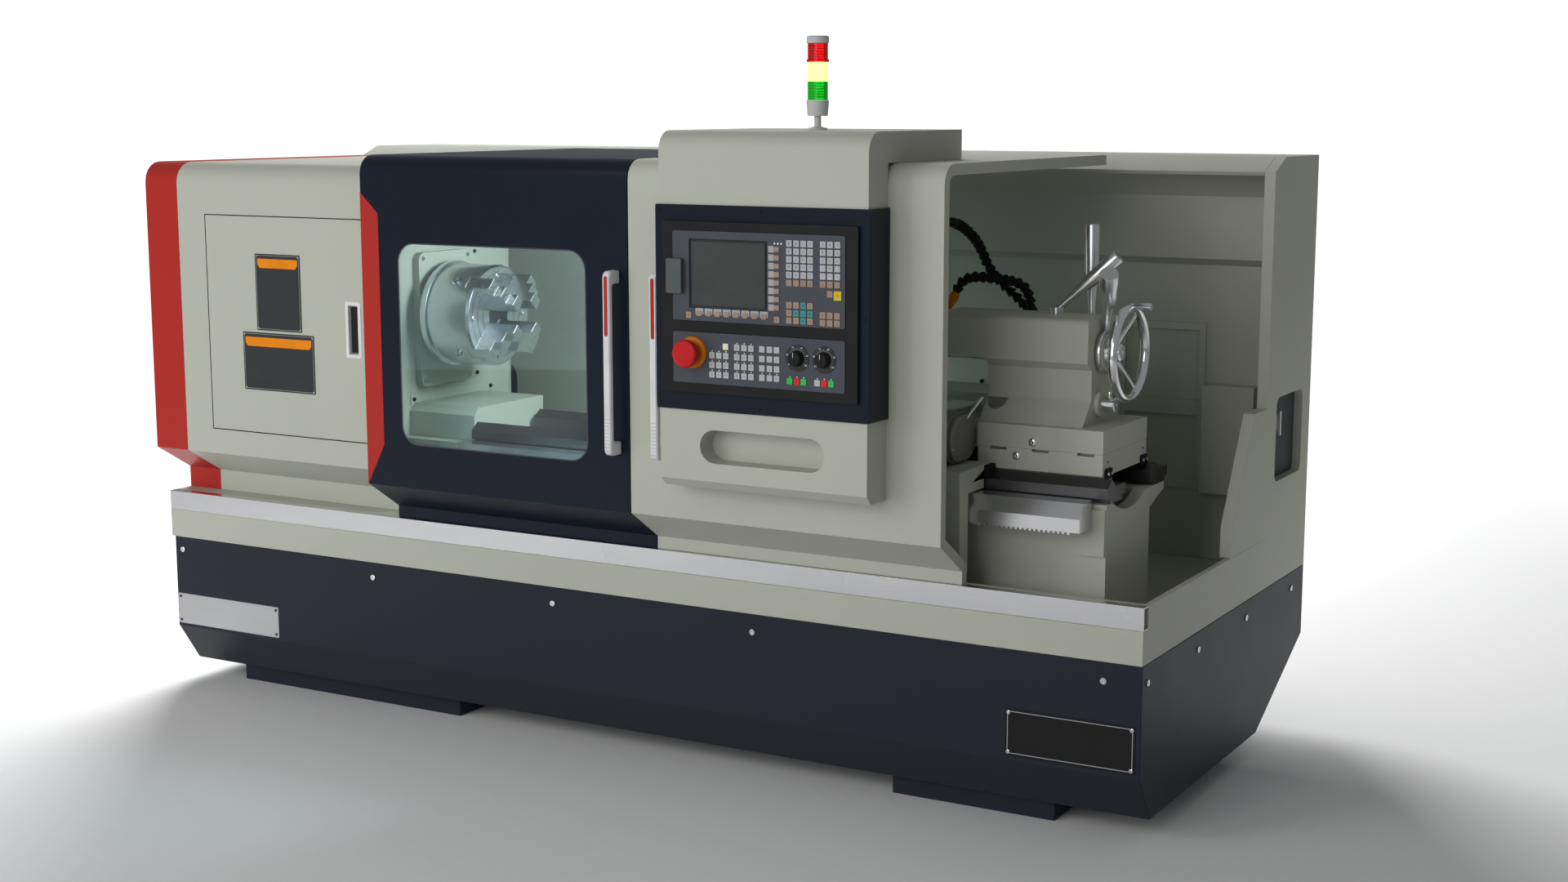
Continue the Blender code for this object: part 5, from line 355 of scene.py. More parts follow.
def add_turned(shape, profile, place, normal, steps=32):
    """A profile of (radius, height) pairs swept round the normal, from its top centre to its foot."""
    turn = Matrix.Translation(place) @ facing(normal)
    rings = []
    for radius, height in profile:
        if radius == 0:
            rings.append([shape.verts.new(turn @ Vector((0, 0, height)))])
            continue
        ring = []
        for step in range(steps):
            angle = 2 * math.pi * step / steps
            ring.append(shape.verts.new(turn @ Vector((radius * math.cos(angle), radius * math.sin(angle),
                height))))
        rings.append(ring)
    for upper, lower in zip(rings, rings[1:]):
        for step in range(steps):
            after = (step + 1) % steps
            corners = [upper[step % len(upper)], lower[step % len(lower)], lower[after % len(lower)],
                upper[after % len(upper)]]
            face = []
            for corner in corners:
                if corner not in face:
                    face.append(corner)
            if len(face) > 2:
                shape.faces.new(face)


def add_prism(shape, outline, place, normal, start, end):
    """An outline of (x, y) points, x to the right from the front, from start to end along the normal."""
    turn = Matrix.Translation(place) @ facing(normal)
    lower = [shape.verts.new(turn @ Vector((x, y, start))) for x, y in outline]
    upper = [shape.verts.new(turn @ Vector((x, y, end))) for x, y in outline]
    shape.faces.new(upper)
    shape.faces.new(lower[::-1])
    count = len(outline)
    for index in range(count):
        after = (index + 1) % count
        shape.faces.new((lower[index], lower[after], upper[after], upper[index]))


def rounded(width, height, radius, steps=6):
    """A rectangle with round corners about its middle."""
    points = []
    for turn, (sx, sy) in enumerate(((1, 1), (-1, 1), (-1, -1), (1, -1))):
        centre = (sx * (width / 2 - radius), sy * (height / 2 - radius))
        for step in range(steps + 1):
            angle = math.pi / 2 * (turn + step / steps)
            points.append((centre[0] + radius * math.cos(angle), centre[1] + radius * math.sin(angle)))
    return points


def add_frame(shape, outer, inner, place, normal, start, end):
    """A flat ring between two outlines with the same number of points."""
    turn = Matrix.Translation(place) @ facing(normal)
    rows = []
    for outline, height in ((outer, start), (outer, end), (inner, end), (inner, start)):
        rows.append([shape.verts.new(turn @ Vector((x, y, height))) for x, y in outline])
    count = len(outer)
    for row, after_row in zip(rows, rows[1:] + rows[:1]):
        for index in range(count):
            after = (index + 1) % count
            shape.faces.new((row[index], row[after], after_row[after], after_row[index]))


def add_words(shape, words, size, place, normal):
    """Figures or signs as flat faces centred on a place."""
    curve = bpy.data.curves.new("words", "FONT")
    curve.body = words
    curve.size = size
    curve.align_x = "CENTER"
    curve.align_y = "CENTER"
    curve.resolution_u = 2
    guide = placed("words", curve)
    mesh = bpy.data.meshes.new_from_object(guide.evaluated_get(bpy.context.evaluated_depsgraph_get()))
    mesh.transform(Matrix.Translation(place) @ facing(normal))
    shape.from_mesh(mesh)
    bpy.data.objects.remove(guide)
    bpy.data.meshes.remove(mesh)


def piece(name, shape, body, paint_name, slot=None, width=0.0, segments=2, angle=SHARP_ANGLE):
    """Turns a shape into a named piece that rides on a body.

    The slot is not used.
    """
    slot = slot or paint_name
    bmesh.ops.remove_doubles(shape, verts=shape.verts, dist=0.000001)
    bmesh.ops.recalc_face_normals(shape, faces=shape.faces)
    for face in shape.faces:
        face.smooth = True
    for edge in shape.edges:
        if len(edge.link_faces) == 2 and edge.calc_face_angle(0) > math.radians(angle):
            edge.smooth = False
    mesh = bpy.data.meshes.new(name)
    shape.to_mesh(mesh)
    shape.free()
    mesh.materials.append(finishes[paint_name])
    made = placed(name, mesh)
    if width:
        bevel(made, width, segments)
    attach(made, body)
    return made


def plate(name, outline, place, normal, span, body, paint_name, slot=None, width=0.0, segments=2):
    """A piece that is one prism, from the span's start to its end along the normal."""
    shape = bmesh.new()
    add_prism(shape, outline, place, normal, *span)
    piece(name, shape, body, paint_name, slot, width, segments)


def add_screw(shape, place, normal, radius, height, steps=18):
    """A round screw head with a hexagon socket, seated on a face."""
    add_turned(shape, [(0, height * 0.35), (radius * 0.42, height * 0.35), (radius * 0.48, height),
        (radius * 0.86, height), (radius, height * 0.78), (radius, -SCREW_SINK), (0, -SCREW_SINK)], place,
        normal, steps)


def screws(name, spots, normal, radius, height, body, paint_name, slot=None):
    """Several screw heads as one piece."""
    shape = bmesh.new()
    for spot in spots:
        add_screw(shape, at(*spot), normal, radius, height)
    piece(name, shape, body, paint_name, slot)


def corner_spots(x, y, z, across, up):
    """The four corners of an upright rectangle about a middle."""
    return [(x + across * sx, y, z + up * sz) for sx in (-1, 1) for sz in (-1, 1)]


# Base, tray and rail
BOLT_RADIUS, BOLT_HEIGHT = 0.0085, 0.004
NAME_PLATE = (0.222, 0, 0.234)
BADGE = (2.970, 0, 0.250)


def base_fittings():
    """Bolts round the base, the bare name plate and the bare badge plate."""
    front = [(0.045, 0, 0.420), (0.800, 0, 0.415), (1.440, 0, 0.413), (2.080, 0, 0.411),
        (3.055, 0, 0.412)]
    screws("base_front_bolts", front, FRONT, BOLT_RADIUS, BOLT_HEIGHT, "frame", "chrome")
    side = [(RIGHT_SIDE, y, 0.412) for y in (0.035, 0.400, 0.790, 1.200)]
    screws("base_side_bolts", side, RIGHT, BOLT_RADIUS, BOLT_HEIGHT, "frame", "chrome")
    plate("bare_plate", rounded(0.410, 0.094, 0.004), at(*NAME_PLATE), FRONT, PLATE_SPAN, "frame",
        "bare_aluminium", "satin_steel", 0.0004)
    spots = corner_spots(NAME_PLATE[0], -PLATE_THICKNESS, NAME_PLATE[2], 0.195, 0.037)
    screws("bare_plate_screws", spots, FRONT, 0.0042, 0.0018, "frame", "mark_dark", "dark_iron")
    plate("badge_plate", rounded(0.340, 0.122, 0.004), at(*BADGE), FRONT, PLATE_SPAN, "frame",
        "black_plastic", width=0.0004)
    shape = bmesh.new()
    outer, inner = rounded(0.326, 0.108, 0.004), rounded(0.322, 0.104, 0.003)
    add_frame(shape, outer, inner, at(*BADGE), FRONT, 0.001, 0.0014)
    piece("badge_line", shape, "frame", "label_gray", "silver_plastic")
    spots = corner_spots(BADGE[0], -PLATE_THICKNESS, BADGE[2], 0.160, 0.050)
    screws("badge_screws", spots, FRONT, 0.0052, 0.0020, "frame", "chrome")


base_fittings()


def end_panel_fittings():
    """A dark sheet on the floor of the end panel's pocket as painted shade, and the stop on the gusset's
    toe.
    """
    # Painted shade: a dark sheet darkens the pocket's floor where shade falls.
    plate("pocket_painted_shade", rounded(0.2440, 0.2330, 0.0245), at(3.127, 1.1275, 0.864), RIGHT,
        (-SINK, 0.0010), "frame", "mark_dark", "cream_paint")
    plate("gusset_stop", rounded(0.036, 0.040, 0.012), at(3.1260, 0.8140, 0.6600), RIGHT,
        (-0.0260, 0.0015), "frame", "cream_paint", width=0.0060, segments=3)


end_panel_fittings()


# Headstock guard and its door
def access_fittings():
    """A dark band round the door as painted shade of its gap, its two bare plates with coloured bands,
    and the latch's frame.
    """
    # Painted shade: a dark band in and round the door's gap darkens the seam as shade would.
    shape = bmesh.new()
    add_frame(shape, rounded(0.640, 0.639, 0.001), rounded(0.6346, 0.6336, 0.001),
        at(0.555, HOUSE_FRONT, 1.1355), FRONT, -0.002, 0.0002)
    piece("access_gap_shade", shape, "frame", "seam_dark", "rubber")
    plates = ((0.428, 0.600, 1.122, 1.345), (0.371, 0.644, 0.945, 1.115))
    board, band, rim, spots = bmesh.new(), bmesh.new(), bmesh.new(), []
    for left, right, low, high in plates:
        width, height = right - left, high - low
        middle = at((left + right) / 2, HOUSE_FRONT, (low + high) / 2)
        add_prism(board, rounded(width, height, 0.003), middle, FRONT, -SINK, PLATE_THICKNESS)
        add_frame(rim, rounded(width - 0.008, height - 0.008, 0.002),
            rounded(width - 0.010, height - 0.010, 0.0015), middle, FRONT, 0.001, 0.00135)
        half, top = width / 2 - 0.010, height / 2 - 0.014
        outline = [(-half, top), (-half, top - 0.017), (-half + 0.008, top - 0.027),
            (half - 0.008, top - 0.027), (half, top - 0.017), (half, top)]
        add_prism(band, outline, middle, FRONT, 0.001, 0.0015)
        spots += corner_spots((left + right) / 2, HOUSE_FRONT - PLATE_THICKNESS, (low + high) / 2,
            width / 2 - 0.006, height / 2 - 0.006)
    piece("door_plates", board, "access_door", "plate_dark", "black_plastic", 0.0003)
    piece("door_plate_bands", band, "access_door", "band_orange", "lens_amber")
    piece("door_plate_rims", rim, "access_door", "label_gray", "silver_plastic")
    screws("door_plate_screws", spots, FRONT, 0.0026, 0.0010, "access_door", "chrome")
    shape = bmesh.new()
    middle = at(0.793, HOUSE_FRONT, 1.140)
    add_frame(shape, rounded(0.056, 0.160, 0.005), rounded(0.0365, 0.1405, 0.003), middle, FRONT, -0.0002,
        0.0016)
    add_frame(shape, rounded(0.0358, 0.1398, 0.0028), rounded(0.0344, 0.1384, 0.0024), middle, FRONT,
        -0.0125, 0.0010)
    piece("latch_frame", shape, "access_door", "silver_plastic", width=0.0003)


access_fittings()


# Sliding doors, and the surround's sides on the right one
SURROUND_SIDE_STARTS = (1.9326, 2.5256)
SURROUND_SIDE_THICKNESS = 0.0066


def surround_sides():
    """The surround's navy returns along both sides of the housing, as far as the door."""
    shape = bmesh.new()
    for left in SURROUND_SIDE_STARTS:
        add_box(shape, (left, -0.2200, 1.0222), (left + SURROUND_SIDE_THICKNESS, -0.1146, 1.5308))
    piece("surround_sides", shape, "right_door", "navy_paint", width=0.0010)


surround_sides()


def door_fittings():
    """The red stripe on the navy door, the window's edge, the handles' insets and dots, and a dark sheet
    in each handle as painted shade.
    """
    shape = bmesh.new()
    place = at(0.893, DOOR_FRONT, 0)
    outline = [(0.0002, 0.7180), (0.0610, 0.8337), (0.0610, 1.4770), (0.0002, 1.5340)]
    add_prism(shape, outline, place, FRONT, -0.0002, 0.0006)
    add_box(shape, (0.8922, DOOR_FRONT - 0.0005, 0.7180), (0.8931, DOOR_FRONT + 0.0275, 1.5340))
    piece("door_stripe", shape, "left_door", "red_paint")
    shape = bmesh.new()
    middle = at(1.332, DOOR_FRONT, 1.1195)
    add_frame(shape, rounded(0.6279, 0.5599, 0.0549, 10), rounded(0.6210, 0.5530, 0.0515, 10), middle,
        FRONT, -0.0030, -0.0006)
    piece("window_edge", shape, "left_door", "gray_plastic", "window_glass", 0.0004)
    for side, left, body in (("left", 1.731, "left_door"), ("right", 1.8735, "right_door")):
        middle = left + 0.011
        plate(side + "_handle_inset", rounded(0.0105, 0.155, 0.0052), at(middle, HANDLE_FACE, 1.262),
            FRONT, (-0.0010, 0.0005), body, "red_paint", width=0.0002)
        shape = bmesh.new()
        for row in range(10):
            for column in (-1, 0, 1):
                spot = at(middle + column * 0.0050, HANDLE_FACE, 0.886 + row * 0.0092)
                add_turned(shape, [(0, 0.0007), (0.0010, 0.0005), (0.0014, 0), (0.0014, -0.0005),
                    (0, -0.0005)], spot, FRONT, 8)
        piece(side + "_handle_dots", shape, body, "label_gray", "silver_plastic")
        # Painted shade: a dark sheet inside each handle stands in for the shade on its side.
        shape = bmesh.new()
        add_box(shape, (left + 0.0030, HANDLE_FACE + 0.0162, 0.905),
            (left + 0.0190, HANDLE_FACE + 0.0190, 1.319))
        piece(side + "_handle_painted_shade", shape, body, "black_plastic", width=0.0006)


door_fittings()


# Headstock face and chuck
HEADSTOCK_FACE = 0.760
COVER_THICKNESS = 0.003
CHUCK_MIDDLE = 0.915
CHUCK_FACE = 0.980
CHUCK_RADIUS = 0.150
JAW_COUNT = 4
SOCKET_HALF, SOCKET_RIM_HALF = 0.0061, 0.0088
RING_RADII, RING_HALF, RING_HEIGHT = (0.075, 0.100, 0.125), 0.0006, 0.0003


def headstock_fittings():
    """The headstock's cover plates with their screws, the nose plate's bolts and the wall's screws."""
    shape = bmesh.new()
    add_prism(shape, rounded(0.262, 0.408, 0.004), at(HEADSTOCK_FACE, 0.439, 1.141), RIGHT, -SCREW_SINK,
        COVER_THICKNESS)
    add_prism(shape, rounded(0.398, 0.034, 0.004), at(HEADSTOCK_FACE, 0.437, 0.905), RIGHT, -SCREW_SINK,
        COVER_THICKNESS)
    piece("face_plates", shape, "frame", "cream_paint", width=0.0008)
    spots = [(HEADSTOCK_FACE + COVER_THICKNESS, y, z) for y in (0.3225, 0.5557) for z in (0.9537, 1.3285)]
    spots += [(HEADSTOCK_FACE + COVER_THICKNESS, y, 0.905) for y in (0.251, 0.6213)]
    screws("face_plate_screws", spots, RIGHT, 0.0060, 0.0050, "frame", "black_plastic")
    spots = [(0.785, AXIS_Y + side * 0.105, z) for side in (-1, 1) for z in (0.957, 1.323)]
    screws("nose_plate_bolts", spots, RIGHT, 0.0065, 0.0050, "frame", "satin_steel")
    spots = [(x, 1.1597, z) for x, z in ((0.906, 0.950), (1.420, 0.950), (1.420, 1.240), (2.200, 0.950))]
    screws("wall_screws", spots, FRONT, 0.0060, 0.0050, "frame", "black_plastic")


def chuck_fittings():
    """The square-socket jaw screws round the chuck, and the bolts through its face."""
    keys, bolts = bmesh.new(), bmesh.new()
    centre = at(CHUCK_MIDDLE, AXIS_Y, AXIS_Z)
    for number in range(JAW_COUNT):
        angle = math.pi / JAW_COUNT + math.pi / 2 * number
        out = Vector((0, math.cos(angle), math.sin(angle)))
        spot = centre + out * (CHUCK_RADIUS - 0.001)
        add_turned(keys, [(0.0085, 0.0085), (0.0125, 0.0085), (0.0145, 0.0065), (0.0145, -0.002),
            (0.0085, -0.002), (0.0085, 0.0085)], spot, out, 32)
        square = rounded(2 * SOCKET_HALF, 2 * SOCKET_HALF, 0.0004, 1)
        rim = [(SOCKET_RIM_HALF * x / SOCKET_HALF, SOCKET_RIM_HALF * y / SOCKET_HALF) for x, y in square]
        add_frame(keys, rim, square, spot, out, 0, 0.0078)
        between_jaws = Vector((0, math.cos(angle + math.pi / 4), math.sin(angle + math.pi / 4)))
        add_screw(bolts, at(CHUCK_FACE - 0.0001, AXIS_Y, AXIS_Z) + between_jaws * 0.118, RIGHT, 0.0100,
            0.0035, 24)
    piece("jaw_screws", keys, "spindle", "chrome", angle=40)
    piece("chuck_bolts", bolts, "spindle", "satin_steel")
    rings = bmesh.new()
    for radius in RING_RADII:
        inner, outer = radius - RING_HALF, radius + RING_HALF
        add_turned(rings, [(inner, RING_HEIGHT), (outer, RING_HEIGHT), (outer, -SINK), (inner, -SINK),
            (inner, RING_HEIGHT)], at(CHUCK_FACE + 0.0001, AXIS_Y, AXIS_Z), RIGHT, 64)
    piece("chuck_rings", rings, "spindle", "mark_dark", "satin_steel")


headstock_fittings()
chuck_fittings()


# Coolant hoses
HOSE_LINK = 0.0215
HIGH_HOSE_ROUTE = ((2.480, 0.845, 0.985), (2.490, 0.850, 1.080), (2.490, 0.850, 1.170),
    (2.462, 0.850, 1.222), (2.410, 0.842, 1.268), (2.372, 0.822, 1.318), (2.363, 0.785, 1.370),
    (2.364, 0.735, 1.406), (2.359, 0.670, 1.440), (2.361, 0.600, 1.457))
LOW_HOSE_ROUTE = ((2.505, 0.800, 0.985), (2.510, 0.802, 1.080), (2.515, 0.800, 1.180),
    (2.507, 0.786, 1.252), (2.492, 0.752, 1.286), (2.452, 0.680, 1.303), (2.418, 0.610, 1.310),
    (2.399, 0.578, 1.298), (2.391, 0.562, 1.272), (2.385, 0.553, 1.254))


def add_rod(shape, stations, steps=20):
    """A round rod through (place, radius) stations, closed by a flat cap at both ends."""
    rings = []
    for index, (place, radius) in enumerate(stations):
        before = stations[max(index - 1, 0)][0]
        after = stations[min(index + 1, len(stations) - 1)][0]
        turn = Matrix.Translation(place) @ facing((after - before).normalized())
        angles = [2 * math.pi * step / steps for step in range(steps)]
        rings.append([shape.verts.new(turn @ Vector((radius * math.cos(a), radius * math.sin(a), 0)))
            for a in angles])
    shape.faces.new(rings[0][::-1])
    shape.faces.new(rings[-1])
    for lower, upper in zip(rings, rings[1:]):
        for step in range(steps):
            after = (step + 1) % steps
            shape.faces.new((lower[step], lower[after], upper[after], upper[step]))


def along_route(route, spacing):
    """Evenly spaced places on a smooth curve through a route's own places."""
    ends = [route[0] * 2 - route[1], *route, route[-1] * 2 - route[-2]]
    fine = []
    for before, here, there, after in zip(ends, ends[1:], ends[2:], ends[3:]):
        for step in range(12):
            t = step / 12
            bend = 2 * before - 5 * here + 4 * there - after
            twist = 3 * here - before - 3 * there + after
            fine.append(here + ((there - before) * t + bend * t * t + twist * t * t * t) / 2)
    fine.append(route[-1])
    places, walked = [fine[0]], 0.0
    for here, there in zip(fine, fine[1:]):
        walked += (there - here).length
        if walked >= spacing:
            places.append(there)
            walked = 0.0
    return places


def hoses():
    """Jointed hoses: flared black links one into the next, and a black or an orange nozzle."""
    for name, route in (("high_coolant_hose", HIGH_HOSE_ROUTE), ("low_coolant_hose", LOW_HOSE_ROUTE)):
        places = along_route([at(*place) for place in route], HOSE_LINK)
        shape = bmesh.new()
        add_rod(shape, [(places[0], 0.0150), (places[0] + UP * 0.012, 0.0150)], 6)
        for here, there in zip(places, places[1:]):
            step = there - here
            add_rod(shape, [(here - step * 0.06, 0.0110), (here - step * 0.02, 0.0152),
                (here + step * 0.12, 0.0150), (here + step * 0.80, 0.0082), (here + step * 0.92, 0.0078),
                (here + step * 1.02, 0.0074)], 18)
        made = piece(name + "_links", shape, "carriage", "rubber")
        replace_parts(made, name)
        tip, heading = places[-1], (places[-1] - places[-2]).normalized()
        nozzle = bmesh.new()
        add_rod(nozzle, [(tip - heading * 0.004, 0.0128), (tip, 0.0140), (tip + heading * 0.012, 0.0138),
            (tip + heading * 0.040, 0.0072), (tip + heading * 0.042, 0.0060)], 24)
        finish = "nozzle_orange" if name == "low_coolant_hose" else "black_plastic"
        piece(name + "_nozzle", nozzle, "carriage", finish, "lens_amber")


hoses()


# Carriage and tailstock
def carriage_fittings():
    """The turret motor's cover with its step and screws, the wiper, and a thin rod behind the cover."""
    middle = at(2.598, 0.174, 0.9415)
    shape = bmesh.new()
    add_prism(shape, rounded(0.150, 0.113, 0.054, 10), middle, RIGHT, -0.0002, 0.0008)
    add_prism(shape, rounded(0.112, 0.106, 0.050, 10), middle + BACK * 0.014, RIGHT, 0.0007, 0.0016)
    piece("motor_cover_plate", shape, "cross_slide", "dark_iron", width=0.0003)
    spots = [(2.5988, 0.174 + y, 0.9415 + z) for y, z in ((-0.066, 0.022), (-0.066, -0.022),
        (0.073, 0.018), (0.073, -0.018), (-0.022, 0.051), (-0.022, -0.051))]
    screws("motor_cover_screws", spots, RIGHT, 0.0034, 0.0008, "cross_slide", "satin_steel")
    shape = bmesh.new()
    add_rod(shape, [(at(2.567, 0.170, 0.9325), 0.0032), (at(2.602, 0.200, 0.998), 0.0032),
        (at(2.619, 0.240, 1.038), 0.0032)], 12)
    piece("thin_rod", shape, "cross_slide", "chrome")
    shape = bmesh.new()
    add_box(shape, (2.6500, 0.186, 0.8400), (2.6640, 0.229, 0.8745))
    piece("saddle_wiper", shape, "carriage", "rubber", width=0.0020)


def tailstock_fittings():
    """Bolts, pins and way wipers of the tailstock."""
    shape = bmesh.new()
    for spot in ((2.762, 0.2335, 0.9350), (2.719, 0.2335, 0.8972)):
        add_turned(shape, [(0, 0.0035), (0.0042, 0.0035), (0.0050, 0.0062), (0.0085, 0.0056),
            (0.0108, 0.0034), (0.0118, -0.0005), (0, -0.0005)], at(*spot), FRONT, 32)
    piece("sole_bolts", shape, "tailstock", "chrome")
    shape, spots = bmesh.new(), []
    for middle in (0.267, 0.515):
        add_prism(shape, rounded(0.044, 0.026, 0.006), at(2.950, middle, 0.8665), RIGHT, -0.0005, 0.0060)
        spots += [(2.956, middle + side * 0.012, 0.8665) for side in (-1, 1)]
    piece("sole_wipers", shape, "tailstock", "rubber", width=0.0015)
    screws("wiper_screws", spots, RIGHT, 0.0052, 0.0036, "tailstock", "chrome")
    spots = [(2.950, 0.268, 0.8945), (2.950, 0.513, 0.8965)]
    screws("sole_pins", spots, RIGHT, 0.0034, 0.0010, "tailstock", "mark_dark", "dark_iron")


def add_lever(shape, foot, reach, girth=1.0):
    """A lever's rod: a thin neck that widens to a long grip with a flat end."""
    shares = ((0.0, 0.0080), (0.20, 0.0088), (0.36, 0.0124), (0.55, 0.0180), (0.78, 0.0194),
        (0.985, 0.0196), (1.0, 0.0184))
    add_rod(shape, [(foot + reach * share, radius * girth) for share, radius in shares], 32)


def levers():
    """The three levers with their hubs, in place of the coarser CAD ones."""
    shape = bmesh.new()
    foot = at(2.735, 0.440, 1.2503)
    add_lever(shape, foot, Vector((0.153, 0.030, 0.1417)))
    add_turned(shape, [(0, 0.0080), (0.0145, 0.0080), (0.0170, 0.0060), (0.0170, -0.0080), (0, -0.0080)],
        foot, UP)
    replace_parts(piece("quill_lever", shape, "quill_lock", "satin_steel"), "quill_lock_lever")
    shape = bmesh.new()
    centre = at(2.891, AXIS_Y, AXIS_Z)
    add_lever(shape, centre + UP * 0.0538, Vector((0.055, -0.130, 0.156)), 1.22)
    add_turned(shape, [(0.0478, 0.0060), (0.0558, 0.0060), (0.0565, 0.0050), (0.0565, -0.0050),
        (0.0558, -0.0060), (0.0478, -0.0060), (0.0478, 0.0060)], centre, RIGHT, 64)
    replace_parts(piece("gear_lever", shape, "gear_lever", "satin_steel"), "feed_gear_lever")
    shape = bmesh.new()
    foot = at(2.800, 0.520, 1.190)
    add_lever(shape, foot, Vector((-0.010, 0.015, 0.277)))
    add_turned(shape, [(0, 0.0043), (0.0150, 0.0043), (0.0170, 0.0023), (0.0170, -0.0117), (0, -0.0117)],
        foot, BACK)
    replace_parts(piece("bed_lever", shape, "bed_lever", "satin_steel"), "bed_clamp_lever")


def wheel():
    """The handwheel with its hub, three thin spokes, round rim and crank grip, and the clamping shaft."""
    shape = bmesh.new()
    centre = at(2.9003, AXIS_Y, AXIS_Z)
    add_turned(shape, [(0, 0.0340), (0.0060, 0.0340), (0.0070, 0.0360), (0.0180, 0.0360),
        (0.0225, 0.0325), (0.0240, 0.0190), (0.0385, 0.0170), (0.0400, 0.0150), (0.0400, 0), (0, 0)],
        centre, RIGHT, 48)
    rim = [(0.1145 + 0.0105 * math.cos(angle), 0.0530 + 0.0130 * math.sin(angle))
        for angle in [2 * math.pi * step / 16 for step in range(17)]]
    add_turned(shape, rim, centre, RIGHT, 96)
    for number in range(3):
        turn = 2 * math.pi * (number + 0.25) / 3
        out = Vector((0, math.sin(turn), math.cos(turn)))
        add_rod(shape, [(centre + RIGHT * 0.012 + out * 0.020, 0.0070),
            (centre + RIGHT * 0.050 + out * 0.108, 0.0036)])
    grip = centre + UP * 0.119 + RIGHT * 0.055
    add_rod(shape, [(grip, 0.0070), (grip + RIGHT * 0.020, 0.0078), (grip + RIGHT * 0.022, 0.0092),
        (grip + RIGHT * 0.0525, 0.0102), (grip + RIGHT * 0.0540, 0.0092)], 32)
    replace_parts(piece("wheel", shape, "handwheel", "chrome"), "handwheel")
    shape = bmesh.new()
    foot = at(2.8943, 0.365, 1.025)
    add_turned(shape, [(0, 0.0340), (0.0020, 0.0340), (0.0030, 0.0380), (0.0160, 0.0380),
        (0.0190, 0.0350), (0.0190, 0), (0, 0)], foot, RIGHT, 48)
    add_turned(shape, [(0, 0.0145), (0.0040, 0.0145), (0.0050, 0.0130), (0.0050, 0.0050),
        (0.0072, 0.0046), (0.0072, -0.0030), (0, -0.0030)], foot + RIGHT * 0.019 + UP * 0.0188, UP, 24)
    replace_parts(piece("clamping_shaft", shape, "clamp_shaft", "chrome"), "clamp_shaft")


carriage_fittings()
tailstock_fittings()
levers()
wheel()


# Control panel
def display_spot(across, down):
    """A place on the display unit's face, from shares of its width and height."""
    return at(UNIT_LEFT + across * UNIT_WIDTH, UNIT_FRONT, DISPLAY_BOTTOM + (1 - down) * DISPLAY_HEIGHT)


def panel_spot(across, down):
    """A place on the machine panel's face, from shares of its width and height."""
    return at(UNIT_LEFT + across * UNIT_WIDTH, UNIT_FRONT, PANEL_BOTTOM + (1 - down) * PANEL_HEIGHT)


def key_caps(name, spots, size, paint_name, slot):
    """Key caps with round corners over the CAD's keys, one piece for one colour."""
    shape = bmesh.new()
    for spot in spots:
        add_prism(shape, rounded(*size, 0.0014, 3), spot, FRONT, KEY_BASE, KEY_HEIGHT)
    piece(name, shape, "right_door", paint_name, slot, 0.0004)


SURROUND_SPREAD, SURROUND_SETBACK = 0.287, 0.0123
BEZEL_SPREAD, BEZEL_SETBACK = 0.2690, 0.0120
SCREEN = (0.098, 0.087, 0.558, 0.858)
KEY_HEIGHT = 0.0022
SIGN_HEIGHT = 0.0023
KEY_BASE = 0.0001
LETTERS_X = (0.686, 0.727, 0.767, 0.806)
NUMBERS_X = (0.877, 0.917, 0.958)
ROWS = (0.101, 0.187, 0.273, 0.356, 0.442, 0.528)
CURSOR_ROWS = (0.770, 0.857, 0.938)
CORNER_ROWS = (0.863, 0.945)
KEY = (0.0154, 0.0154)
SOFT_KEY = (0.0154, 0.0124)
NUMBER_SIGNS = ("7", "8", "9", "4", "5", "6", "1", "2", "3", "-", "0", ".", "/", "*", "=")
LETTER_SIGNS = "ABCDEFGHIJKLMNOPQRST"


def screen_and_frames():
    """The sunk screen's glass and rims, and the grooves and screws of the two frames."""
    left, top, right, bottom = SCREEN
    middle = display_spot((left + right) / 2, (top + bottom) / 2)
    width, height = (right - left) * UNIT_WIDTH, (bottom - top) * DISPLAY_HEIGHT
    plate("screen", rounded(width - 0.012, height - 0.012, 0.001, 2), middle, FRONT, (-0.0020, -0.0012),
        "right_door", "screen_gray", "gray_plastic", 0.0002)
    shape = bmesh.new()
    add_frame(shape, rounded(width - 0.0006, height - 0.0006, 0.0012, 2),
        rounded(width - 0.005, height - 0.005, 0.001, 2), middle, FRONT, -0.0020, 0.0004)
    add_frame(shape, rounded(width - 0.0090, height - 0.0090, 0.0012, 2),
        rounded(width - 0.012, height - 0.012, 0.001, 2), middle, FRONT, -0.0020, -0.0004)
    piece("screen_rims", shape, "right_door", "black_plastic")
    shape = bmesh.new()
    bezel = UNIT_FRONT + BEZEL_SETBACK
    for low, high in ((1.0760, 1.2310), (1.2350, 1.4830)):
        middle = at(UNIT_MIDDLE, bezel, (low + high) / 2)
        add_frame(shape, rounded(0.533, high - low, 0.006), rounded(0.527, high - low - 0.006, 0.004),
            middle, FRONT, -0.0004, 0.0030)
    piece("bezel_ribs", shape, "right_door", "black_plastic", width=0.0006)
    spots = [(x, UNIT_FRONT + SURROUND_SETBACK, z) for x in (UNIT_MIDDLE - SURROUND_SPREAD, UNIT_MIDDLE,
        UNIT_MIDDLE + SURROUND_SPREAD) for z in (1.036, 1.517)]
    spots += [(UNIT_MIDDLE + side * SURROUND_SPREAD, UNIT_FRONT + SURROUND_SETBACK, 1.272)
        for side in (-1, 1)]
    screws("surround_screws", spots, FRONT, 0.0040, 0.0020, "right_door", "black_plastic")
    spots = [(x, bezel, z) for x in (UNIT_MIDDLE - BEZEL_SPREAD, UNIT_MIDDLE + BEZEL_SPREAD)
        for z in (1.0745, 1.2700, 1.4845)]
    spots += [(UNIT_MIDDLE, bezel, z) for z in (1.0725, 1.4865)]
    screws("bezel_screws", spots, FRONT, 0.0030, 0.0018, "right_door", "black_plastic")


